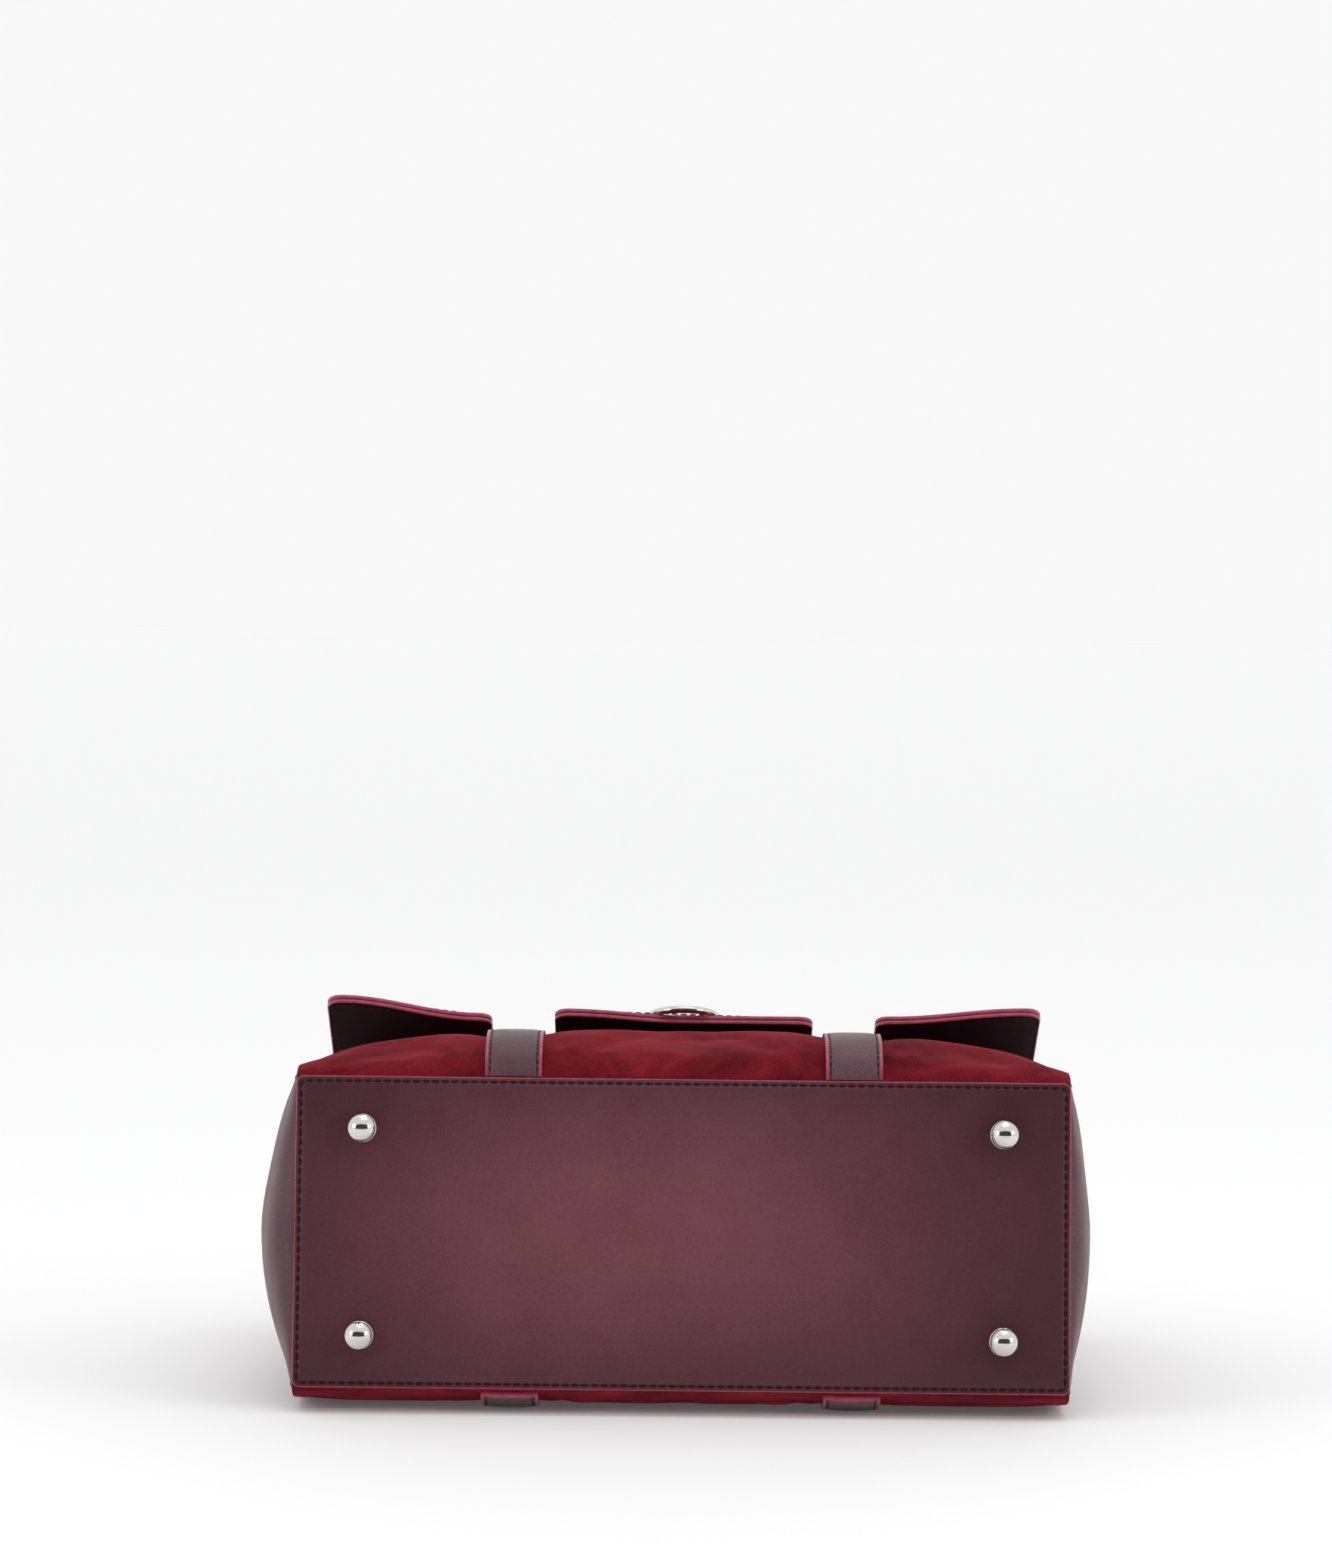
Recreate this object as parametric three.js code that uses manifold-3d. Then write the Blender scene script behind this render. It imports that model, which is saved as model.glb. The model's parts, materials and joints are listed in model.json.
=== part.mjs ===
// A structured satchel bag in leather and suede, laid on its back. Millimetres.
//
// The pieces are drawn in the bag's own axes: X across the bag, Y up from its base to its mouth,
// Z out of its front. The whole bag is then tipped about X until its back straps lie on Z = 0.
import * as THREE from 'three';
import { mergeVertices } from 'three/addons/utils/BufferGeometryUtils.js';
import Module from 'manifold-3d';

const wasm = await Module();
wasm.setup();

// ---- Driving dimensions -------------------------------------------------------------------
const BASE_WIDTH = 320;
const BASE_DEPTH = 128;
const HEIGHT = 230;
const TOP_DEPTH = 84;
const GAP = 0.3; // between pieces that touch

// How far the soft walls stand out of the straight lines between base and mouth
const SEAM_SWELL = 8.5;
const FRONT_BULGE = 15;
const GUSSET_BULGE = 15;
const BACK_SWELL = 10.75;

const LEATHER = 2.2;
const SUEDE = 2;
const BASE_LEATHER = 2.2;
const BASE_CORNER = 3;
const BOARD = 2.5;
const BOARD_INSET = 9;

const STRAP_WIDTH = 23.5;
const STRAP_THICKNESS = 2.6;
const STRAP_X = 70.5;
const STRAP_OVERRUN = 3; // the straps end this far above the body
const STRAP_TOP_FREE = 1; // the front straps leave the front this far below the mouth
const BACK_FLAT_START = 25; // the back straps lie flat from here up
const BACK_FOOT_ROOM = 0.4; // under the back straps' feet, at the base seam
const BACK_TOP_ROOM = 0.8; // under the back straps at the mouth

const FLAP_SIDE_INSET = 3; // the flap stops this far in from the sides of the base
const FLAP_BACK_INSET = 4; // and this far in from the back of the mouth
const FLAP_THICKNESS = 4;
const FLAP_ARCH = 3;
const FLAP_LIFT = 2.3; // underside of the flap over the mouth
const SLOT_ROOM = 1.9; // on each side of a strap in its slot
const SLOT_NOTCH = 12; // how far the strap slots run on into the flap's top
const CREASE_OVERHANG = 4; // the fold stands this far in front of the mouth
const HINGE_ROOM = 2; // leather left free on each side of a fold
const TAB_LENGTH = 121;
const TAB_LIFT = THREE.MathUtils.degToRad(10.68); // the open tabs stand off the front by this
const TAB_CORNER = 6;
const TAB_BELLY = 2.5;
const OUTER_CORNER_RISE = 7;
const BAND_HEIGHT = 26;
const BAND_THICKNESS = 1.6;
const BAND_FADE = 15; // the back panel steps in under the band over this height

const FOOT_INSET_X = 27.5; // from the base's edges to the middle of each foot
const FOOT_INSET_Z = 21.5;
const FOOT_RADIUS = 5.8;
const FOOT_FLANGE = 6.7;
const FLANGE_THICKNESS = 1;
const FOOT_HEIGHT = 9;
const SHANK_RADIUS = 1.5;
const SHANK_HEAD = 0.8; // the shank's end over its washer
const WASHER_RADIUS = 8;
const WASHER_THICKNESS = 0.8;

const RING_WIRE = 1.65;
const RING_RADIUS = 14.35; // to the middle of the wire
const RING_OVERHANG = 6.5; // past the centre tab's free edge
const KEEPER_WIDTH = 10;
const KEEPER_LENGTH = 36;
const KEEPER_WALL = 1.1;
const KEEPER_ROOM = 1.1; // round the ring's wire

const SNAP_RADIUS = 9;
const SNAP_THICKNESS = 2.2;
const SNAP_FROM_EDGE = 25; // from the centre tab's free edge to the middle of the snap
const SNAP_BEDDING = 0.6; // room for the panel's curve under the flat snap

const HANDLE_DROP = 125;
const HANDLE_TUCK = 1.5; // the grip's ends stand this far in from the straps' middles
const HANDLE_RADIUS = 6;
const HANDLE_PIVOT_RISE = 6.5; // the handles bend this far above the body
const HANDLE_LEG = 40;
const LEG_SHOULDER = 0.45; // the share of a leg that keeps the strap's width
const LEG_TIP = 0.7; // half the leg's width at its end, as a share of the grip's radius
const GRIP_OVERLAP = 12; // the grip starts this far below the legs' ends
const GRIP_SINK = 0.2; // the legs' outer faces stand this far inside the grip's skin
const FRONT_HANDLE_LEAN = THREE.MathUtils.degToRad(-6);

const LINING = 1;
const LINING_ROOM = 1.5;
const FLOOR_ROOM = 1.2; // between the feet's shanks and the lining's floor
const FACING_HEIGHT = 25;
const FACING_ROOM = 0.5; // between the walls and the facing
const POCKET_WIDTH = 130;
const POCKET_FOOT = 80;
const POCKET_HEIGHT = 85;
const POCKET_ROOM = 1; // between the pocket's sheet and the lining

// ---- Values worked out from them ----------------------------------------------------------
const HALF_WIDTH = BASE_WIDTH / 2;
const STRAP_STANDOFF = STRAP_THICKNESS + GAP;
const BAND_STANDOFF = BAND_THICKNESS + GAP;
const PLANE_AT_BASE = BASE_DEPTH / 2 + BACK_SWELL;
const PLANE_AT_TOP = TOP_DEPTH / 2 + STRAP_STANDOFF + BAND_STANDOFF + BACK_TOP_ROOM;
const PLANE_SLOPE = (PLANE_AT_BASE - PLANE_AT_TOP) / HEIGHT;
const LIE_BACK = Math.atan(PLANE_SLOPE);
const FLAP_MID_Y = HEIGHT + FLAP_LIFT + FLAP_THICKNESS / 2;
const BAND_FOOT = HEIGHT - BAND_HEIGHT;
const CREASE_Z = TOP_DEPTH / 2 + CREASE_OVERHANG;
const FLAP_BACK_Z = -TOP_DEPTH / 2 + FLAP_BACK_INSET;
const FLAP_WIDTH = BASE_WIDTH - 2 * FLAP_SIDE_INSET;
const SLOT_WIDTH = STRAP_WIDTH + 2 * SLOT_ROOM;
const SLOT_INNER = STRAP_X - SLOT_WIDTH / 2;
const SLOT_OUTER = STRAP_X + SLOT_WIDTH / 2;
const KEEPER_BORE = RING_WIRE + KEEPER_ROOM;
const SNAP_FROM_CREASE = TAB_LENGTH - SNAP_FROM_EDGE;
const SNAP_STANDOFF = SNAP_BEDDING + SNAP_THICKNESS / 2;
const FOOT_SPACING_X = BASE_WIDTH - 2 * FOOT_INSET_X;
const FOOT_SPACING_Z = BASE_DEPTH - 2 * FOOT_INSET_Z;
const HANDLE_PIVOT_Y = HEIGHT + HANDLE_PIVOT_RISE;
const HANDLE_HALF_SPAN = STRAP_X - HANDLE_TUCK;

// ---- Materials ----------------------------------------------------------------------------
const material = (color, roughness, metalness = 0) =>
  new THREE.MeshStandardMaterial({ color, roughness, metalness });
const plumLeather = material(0x5c343d, 0.45);
const strapLeather = material(0x62434a, 0.45);
const redSuede = material(0x7d1626, 0.95);
const nickel = material(0xcfc9c2, 0.15, 1);
const liningCloth = material(0x3b2226, 0.9);
const greyBoard = material(0x77706a, 0.9);
const steel = material(0xa9a9a9, 0.35, 1);

// ---- Geometry helpers ---------------------------------------------------------------------
const lerp = THREE.MathUtils.lerp;
const smoothstep = THREE.MathUtils.smoothstep;

function solidFrom(positions, indices) {
  const geometry = new THREE.BufferGeometry();
  geometry.setAttribute('position', new THREE.Float32BufferAttribute(positions, 3));
  geometry.setIndex(indices);
  if (signedVolume(positions, indices) < 0) {
    for (let i = 0; i < indices.length; i += 3) {
      [indices[i], indices[i + 1]] = [indices[i + 1], indices[i]];
    }
    geometry.setIndex(indices);
  }
  geometry.computeVertexNormals();
  return geometry;
}

function signedVolume(positions, indices) {
  const corner = (i) => new THREE.Vector3().fromArray(positions, 3 * i);
  let total = 0;
  for (let i = 0; i < indices.length; i += 3) {
    const [a, b, c] = [0, 1, 2].map((k) => corner(indices[i + k]));
    total += a.dot(b.cross(c)) / 6;
  }
  return total;
}

// The unit normal of a surface (a, b) -> Vector3, by small steps; a x b is its positive side.
function normalAt(surface, a, b) {
  const step = 1e-3;
  const alongA = surface(a + step, b).sub(surface(a - step, b));
  const alongB = surface(a, b + step).sub(surface(a, b - step));
  return alongA.cross(alongB).normalize();
}

// A sheet with thickness: surface(a, b) is one face, and the other is offset by depth.
function sheet(surface, aValues, bValues, depth) {
  const positions = [];
  for (const offset of [0, depth]) {
    for (const b of bValues) {
      for (const a of aValues) {
        const point = surface(a, b).addScaledVector(normalAt(surface, a, b), offset);
        positions.push(point.x, point.y, point.z);
      }
    }
  }
  const columns = aValues.length;
  const rows = bValues.length;
  const at = (side, column, row) => side * columns * rows + row * columns + column;
  const indices = [];
  const quad = (p, q, r, s) => indices.push(p, q, r, p, r, s);
  for (let row = 0; row < rows - 1; row++) {
    for (let column = 0; column < columns - 1; column++) {
      const ring = [[column, row], [column + 1, row], [column + 1, row + 1], [column, row + 1]];
      quad(...ring.map(([c, r]) => at(0, c, r)));
      quad(...ring.reverse().map(([c, r]) => at(1, c, r)));
    }
  }
  const wall = (c0, r0, c1, r1) => quad(at(0, c1, r1), at(0, c0, r0), at(1, c0, r0), at(1, c1, r1));
  for (let column = 0; column < columns - 1; column++) {
    wall(column, 0, column + 1, 0);
    wall(column + 1, rows - 1, column, rows - 1);
  }
  for (let row = 0; row < rows - 1; row++) {
    wall(columns - 1, row, columns - 1, row + 1);
    wall(0, row + 1, 0, row);
  }
  return solidFrom(positions, indices);
}

// A ring-shaped wall between matching loops of points, floored at the bottom if asked.
function ringWall(outerLoops, innerLoops, floored) {
  const loops = floored
    ? [...outerLoops, ...innerLoops.slice().reverse()]
    : [...outerLoops, ...innerLoops.slice().reverse(), outerLoops[0]];
  const count = loops[0].length;
  const distinct = floored ? loops : loops.slice(0, -1);
  const positions = distinct.flat().flatMap((point) => point.toArray());
  const indices = [];
  for (let k = 0; k < loops.length - 1; k++) {
    const next = (k + 1) % distinct.length;
    for (let i = 0; i < count; i++) {
      const j = (i + 1) % count;
      indices.push(k * count + i, k * count + j, next * count + j);
      indices.push(k * count + i, next * count + j, next * count + i);
    }
  }
  if (floored) {
    closeFan(positions, indices, 0, count, true);
    closeFan(positions, indices, (distinct.length - 1) * count, count, false);
  }
  return solidFrom(positions, indices);
}

function closeFan(positions, indices, start, count, reversed) {
  const middle = new THREE.Vector3();
  for (let i = 0; i < count; i++) {
    middle.add(new THREE.Vector3().fromArray(positions, 3 * (start + i)));
  }
  positions.push(...middle.divideScalar(count).toArray());
  const hub = positions.length / 3 - 1;
  for (let i = 0; i < count; i++) {
    const edge = [start + i, start + ((i + 1) % count)];
    indices.push(hub, ...(reversed ? edge.reverse() : edge));
  }
}

function toSolid(geometry) {
  const bare = geometry.clone();
  bare.deleteAttribute('normal');
  bare.deleteAttribute('uv');
  const merged = mergeVertices(bare, 1e-4);
  return new wasm.Manifold(new wasm.Mesh({
    numProp: 3,
    vertProperties: merged.attributes.position.array,
    triVerts: new Uint32Array(merged.index.array),
  }));
}

function fromSolid(solid) {
  const mesh = solid.getMesh();
  const geometry = new THREE.BufferGeometry();
  geometry.setAttribute('position', new THREE.BufferAttribute(mesh.vertProperties, 3));
  geometry.setIndex(new THREE.BufferAttribute(mesh.triVerts, 1));
  geometry.computeVertexNormals();
  return geometry;
}

// A box between two corners, as a geometry
function boxBetween(low, high) {
  const size = new THREE.Vector3(...high).sub(new THREE.Vector3(...low));
  const box = new THREE.BoxGeometry(size.x, size.y, size.z);
  return box.translate(low[0] + size.x / 2, low[1] + size.y / 2, low[2] + size.z / 2);
}

function addPiece(parent, name, geometry, finish) {
  const mesh = new THREE.Mesh(geometry, finish);
  mesh.name = name;
  parent.add(mesh);
  return mesh;
}

// Evenly spaced values, both ends included
const spread = (from, to, steps) =>
  Array.from({ length: steps + 1 }, (_, i) => lerp(from, to, i / steps));

// ---- The bag's outer shape ----------------------------------------------------------------
// The swell rises steeply from the base seam and dies away towards the mouth.
const swell = (y) => Math.sin(Math.PI * Math.sqrt(THREE.MathUtils.clamp(y / HEIGHT, 0, 1)));
const crown = (x, power) => 1 - Math.min(1, Math.abs(x) / HALF_WIDTH) ** power;

// Half the bag's depth along the side seams
const seamDepth = (y) => lerp(BASE_DEPTH / 2, TOP_DEPTH / 2, y / HEIGHT) + SEAM_SWELL * swell(y);

const frontDepth = (x, y) => seamDepth(y) + FRONT_BULGE * swell(y) * crown(x, 3.5);

// The outer face of the back straps, which is the plane that the bag lies on
function backStrapDepth(y) {
  const plane = PLANE_AT_BASE - PLANE_SLOPE * y;
  const dip = PLANE_AT_BASE - BASE_DEPTH / 2 - STRAP_STANDOFF - BACK_FOOT_ROOM;
  return plane - dip * Math.max(0, 1 - y / BACK_FLAT_START) ** 2;
}

function backDepth(x, y) {
  const slope = (backStrapDepth(y + 0.1) - backStrapDepth(y - 0.1)) / 0.2;
  const underBand = BAND_STANDOFF * smoothstep(y, BAND_FOOT - BAND_FADE, BAND_FOOT);
  const middle = backStrapDepth(y) - STRAP_STANDOFF * Math.hypot(1, slope) - underBand;
  return lerp(seamDepth(y), middle, crown(x, 4));
}

const gussetReach = (y, z) =>
  HALF_WIDTH + GUSSET_BULGE * swell(y) * Math.cos((Math.PI / 2) * Math.min(1, Math.abs(z) / seamDepth(y)));

const frontSurface = (x, y) => new THREE.Vector3(x, y, frontDepth(x, y));
const backSurface = (x, y) => new THREE.Vector3(x, y, -backDepth(x, y));

// Heights at which the soft walls are drawn, closer together where the swell is steep, and one
// at the band's foot, where the back panel's step under the band ends
const wallHeights = (from, to, steps) =>
  spread(0, 1, steps).map((k) => lerp(from, to, k ** 1.5));
const WALL_ROWS = [...wallHeights(GAP, BAND_FOOT - BAND_FADE, 12), BAND_FOOT, HEIGHT];

// The inside outline of the bag at a height, a given distance in from the outer skin
function innerLoop(y, inset) {
  const points = [];
  const halfWidth = HALF_WIDTH - inset;
  const sideDepth = seamDepth(y) - inset;
  for (const x of spread(halfWidth, -halfWidth, 10)) {
    points.push(new THREE.Vector3(x, y, frontDepth(x, y) - inset));
  }
  for (const z of spread(sideDepth, -sideDepth, 5).slice(1, -1)) {
    points.push(new THREE.Vector3(-gussetReach(y, z) + inset, y, z));
  }
  for (const x of spread(-halfWidth, halfWidth, 10)) {
    points.push(new THREE.Vector3(x, y, -backDepth(x, y) + inset));
  }
  for (const z of spread(-sideDepth, sideDepth, 5).slice(1, -1)) {
    points.push(new THREE.Vector3(gussetReach(y, z) - inset, y, z));
  }
  return points;
}

// ---- Body ---------------------------------------------------------------------------------
function buildWalls(bag) {
  const columns = spread(-HALF_WIDTH, HALF_WIDTH, 16);
  addPiece(bag, 'front_panel', sheet(frontSurface, columns, WALL_ROWS, -SUEDE), redSuede);
  addPiece(bag, 'back_panel', sheet(backSurface, columns, WALL_ROWS, SUEDE), redSuede);
  for (const [side, name] of [[-1, 'gusset_left'], [1, 'gusset_right']]) {
    const surface = (share, y) => {
      const z = share * (seamDepth(y) - SUEDE - 2 * GAP);
      return new THREE.Vector3(side * gussetReach(y, z), y, z);
    };
    const geometry = sheet(surface, spread(-1, 1, 8), WALL_ROWS, side * LEATHER);
    addPiece(bag, name, geometry, plumLeather);
  }
}

function footPlaces() {
  const places = [];
  for (const z of [FOOT_SPACING_Z / 2, -FOOT_SPACING_Z / 2]) {
    for (const x of [-FOOT_SPACING_X / 2, FOOT_SPACING_X / 2]) {
      places.push([x, z]);
    }
  }
  return places;
}

// A plate across the bag with a hole for each foot's shank, from one height to another
function drilledPlate(halfWidth, halfDepth, corner, yLow, yHigh) {
  const outline = new THREE.Shape();
  outline.moveTo(-halfWidth + corner, -halfDepth);
  outline.lineTo(halfWidth - corner, -halfDepth);
  outline.absarc(halfWidth - corner, -halfDepth + corner, corner, -Math.PI / 2, 0);
  outline.lineTo(halfWidth, halfDepth - corner);
  outline.absarc(halfWidth - corner, halfDepth - corner, corner, 0, Math.PI / 2);
  outline.lineTo(-halfWidth + corner, halfDepth);
  outline.absarc(-halfWidth + corner, halfDepth - corner, corner, Math.PI / 2, Math.PI);
  outline.lineTo(-halfWidth, -halfDepth + corner);
  outline.absarc(-halfWidth + corner, -halfDepth + corner, corner, Math.PI, 1.5 * Math.PI);
  for (const [x, z] of footPlaces()) {
    const hole = new THREE.Path();
    hole.absarc(x, -z, SHANK_RADIUS + GAP, 0, 2 * Math.PI, true);
    outline.holes.push(hole);
  }
  const options = { depth: yHigh - yLow, bevelEnabled: false, curveSegments: 6 };
  return new THREE.ExtrudeGeometry(outline, options).rotateX(-Math.PI / 2).translate(0, yLow, 0);
}

function buildBase(bag) {
  const panel = drilledPlate(HALF_WIDTH, BASE_DEPTH / 2, BASE_CORNER, -BASE_LEATHER, 0);
  addPiece(bag, 'base_panel', panel, plumLeather);
  const halfWidth = HALF_WIDTH - BOARD_INSET;
  const halfDepth = BASE_DEPTH / 2 - BOARD_INSET;
  const board = drilledPlate(halfWidth, halfDepth, BASE_CORNER, GAP, GAP + BOARD);
  addPiece(bag, 'base_board', board, greyBoard);
}

function buildFeet(bag) {
  const under = -BASE_LEATHER - GAP;
  const washerFoot = GAP + BOARD + GAP;
  const shankTop = washerFoot + WASHER_THICKNESS + SHANK_HEAD;
  const domeFoot = under - FLANGE_THICKNESS;
  const domeDrop = FOOT_HEIGHT - FLANGE_THICKNESS;
  const dome = spread(0, Math.PI / 2, 5).map((angle) =>
    new THREE.Vector2(FOOT_RADIUS * Math.sin(angle), domeFoot - domeDrop * Math.cos(angle)));
  const profile = [
    ...dome,
    new THREE.Vector2(FOOT_FLANGE, domeFoot),
    new THREE.Vector2(FOOT_FLANGE, under),
    new THREE.Vector2(SHANK_RADIUS, under),
    new THREE.Vector2(SHANK_RADIUS, shankTop),
    new THREE.Vector2(0, shankTop),
  ];
  const washer = [
    new THREE.Vector2(SHANK_RADIUS + GAP, washerFoot),
    new THREE.Vector2(WASHER_RADIUS, washerFoot),
    new THREE.Vector2(WASHER_RADIUS, washerFoot + WASHER_THICKNESS),
    new THREE.Vector2(SHANK_RADIUS + GAP, washerFoot + WASHER_THICKNESS),
    new THREE.Vector2(SHANK_RADIUS + GAP, washerFoot),
  ];
  footPlaces().forEach(([x, z], i) => {
    const foot = new THREE.LatheGeometry(profile, 16);
    const plate = new THREE.LatheGeometry(washer, 16);
    addPiece(bag, `foot_${i + 1}`, foot, nickel).position.set(x, 0, z);
    addPiece(bag, `foot_washer_${i + 1}`, plate, steel).position.set(x, 0, z);
  });
}

// A strap lies on a surface from its foot to its top, its outer face on surface(x, y).
function strapOn(surface, centreX, depth) {
  const columns = spread(centreX - STRAP_WIDTH / 2, centreX + STRAP_WIDTH / 2, 2);
  return sheet(surface, columns, [...WALL_ROWS, HEIGHT + STRAP_OVERRUN], depth);
}

function buildStraps(bag) {
  for (const [side, name] of [[-1, 'left'], [1, 'right']]) {
    const overFront = (x, y) => {
      const y1 = Math.min(y, HEIGHT - STRAP_TOP_FREE);
      const normal = normalAt(frontSurface, x, y1);
      const point = frontSurface(x, y1).addScaledVector(normal, STRAP_STANDOFF);
      const along = new THREE.Vector3(0, normal.z, -normal.y);
      return point.addScaledVector(along, y - y1);
    };
    const front = strapOn(overFront, side * STRAP_X, -STRAP_THICKNESS);
    addPiece(bag, `front_strap_${name}`, front, strapLeather);
    const overBack = (x, y) => new THREE.Vector3(x, y, -backStrapDepth(y));
    const back = strapOn(overBack, side * STRAP_X, STRAP_THICKNESS);
    addPiece(bag, `back_strap_${name}`, back, strapLeather);
  }
}

function buildLining(bag) {
  const outerInset = SUEDE + LINING_ROOM;
  const innerInset = outerInset + LINING;
  const floor = 2 * GAP + BOARD + WASHER_THICKNESS + SHANK_HEAD + FLOOR_ROOM;
  const facingFoot = HEIGHT - FACING_HEIGHT;
  const top = facingFoot - GAP;
  const outer = wallHeights(floor, top, 7).map((y) => innerLoop(y, outerInset));
  const inner = wallHeights(floor + LINING, top, 7).map((y) => innerLoop(y, innerInset));
  addPiece(bag, 'lining', ringWall(outer, inner, true), liningCloth);

  const facingHeights = spread(facingFoot, HEIGHT, 3);
  const facingOuter = facingHeights.map((y) => innerLoop(y, SUEDE + FACING_ROOM));
  const facingInner = facingHeights.map((y) => innerLoop(y, innerInset));
  addPiece(bag, 'mouth_facing', ringWall(facingOuter, facingInner, false), plumLeather);

  const pocketDepth = (y) => backDepth(0, y) - innerInset - POCKET_ROOM;
  const pocketSurface = (x, y) => new THREE.Vector3(x, y, -pocketDepth(y));
  const columns = spread(-POCKET_WIDTH / 2, POCKET_WIDTH / 2, 2);
  const rows = spread(POCKET_FOOT, POCKET_FOOT + POCKET_HEIGHT, 3);
  addPiece(bag, 'inner_pocket', sheet(pocketSurface, columns, rows, LINING), liningCloth);
}

// ---- Flap ---------------------------------------------------------------------------------
// The height on the front panel that is as far from the fold as the snap's stud
function snapHeight() {
  let y = HEIGHT;
  while (Math.hypot(FLAP_MID_Y - y, frontDepth(0, y) - CREASE_Z) < SNAP_FROM_CREASE) {
    y -= 0.25;
  }
  return y;
}

// The tabs flare out from the fold, so that they stand clear of the front's swell.
function tabFlare() {
  const y = snapHeight();
  return Math.atan2(frontDepth(0, y) - CREASE_Z, FLAP_MID_Y - y) + TAB_LIFT;
}

function buildFlapTop(bag) {
  const back = FLAP_BACK_Z;
  const front = CREASE_Z - HINGE_ROOM;
  const surface = (x, z) => {
    const arch = FLAP_ARCH * Math.sin((Math.PI * (z - back)) / (front - back));
    return new THREE.Vector3(x, FLAP_MID_Y + FLAP_THICKNESS / 2 + arch, z);
  };
  const columns = spread(-FLAP_WIDTH / 2, FLAP_WIDTH / 2, 6);
  const plate = sheet(surface, columns, spread(back, front, 8), FLAP_THICKNESS);
  let solid = toSolid(plate);
  const notchBack = CREASE_Z - SLOT_NOTCH;
  for (const side of [-1, 1]) {
    const centre = side * STRAP_X;
    const low = [centre - SLOT_WIDTH / 2, HEIGHT, notchBack];
    const high = [centre + SLOT_WIDTH / 2, HEIGHT + 20, CREASE_Z + 10];
    solid = solid.subtract(toSolid(boxBetween(low, high)));
  }
  addPiece(bag, 'flap_top', fromSolid(solid), plumLeather);

  // The band that fastens the flap to the back of the bag, under the back straps
  const bandSurface = (x, y) => backSurface(x, y).add(new THREE.Vector3(0, 0, -BAND_STANDOFF));
  const bandColumns = spread(-FLAP_WIDTH / 2, FLAP_WIDTH / 2, 10);
  const bandRows = spread(BAND_FOOT, HEIGHT - GAP, 3);
  const band = sheet(bandSurface, bandColumns, bandRows, BAND_THICKNESS);
  addPiece(bag, 'flap_band', band, plumLeather);
}

// A tab is drawn in its own axes: X across, -Y from the fold to the free edge, Z outwards.
function tabSolid(xLeft, xRight, riseLeft, riseRight) {
  const width = xRight - xLeft;
  const surface = (a, b) => {
    const x = lerp(xLeft, xRight, (1 - Math.cos(Math.PI * a)) / 2);
    const fromSide = Math.min(x - xLeft, xRight - x, TAB_CORNER);
    const inCorner = TAB_CORNER - Math.max(0, fromSide);
    const trim = TAB_CORNER - Math.sqrt(Math.max(0, TAB_CORNER ** 2 - inCorner ** 2));
    const s = lerp(HINGE_ROOM, TAB_LENGTH - trim, b);
    const share = s / TAB_LENGTH;
    const rise = lerp(riseLeft, riseRight, smoothstep(x, xLeft + 0.1 * width, xRight - 0.1 * width));
    const z = rise * share ** 2 + TAB_BELLY * Math.sin(Math.PI * share) + FLAP_THICKNESS / 2;
    return new THREE.Vector3(x, -s, z);
  };
  // The columns stop just short of the sides so that the surface's normal is defined on them.
  return sheet(surface, spread(0.02, 0.98, 12), spread(0, 1, 8), FLAP_THICKNESS);
}

function buildTabs(bag) {
  const tabs = new THREE.Group();
  tabs.position.set(0, FLAP_MID_Y, CREASE_Z);
  tabs.rotation.x = -tabFlare();
  bag.add(tabs);
  const edge = FLAP_WIDTH / 2;
  const left = tabSolid(-edge, -SLOT_OUTER, OUTER_CORNER_RISE, 0);
  const centre = tabSolid(-SLOT_INNER, SLOT_INNER, 0, 0);
  const right = tabSolid(SLOT_OUTER, edge, 0, OUTER_CORNER_RISE);
  addPiece(tabs, 'flap_tab_left', left, plumLeather);
  addPiece(tabs, 'flap_tab_center', centre, plumLeather);
  addPiece(tabs, 'flap_tab_right', right, plumLeather);
  buildRing(tabs);
  buildSnapStud(tabs);
}

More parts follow.
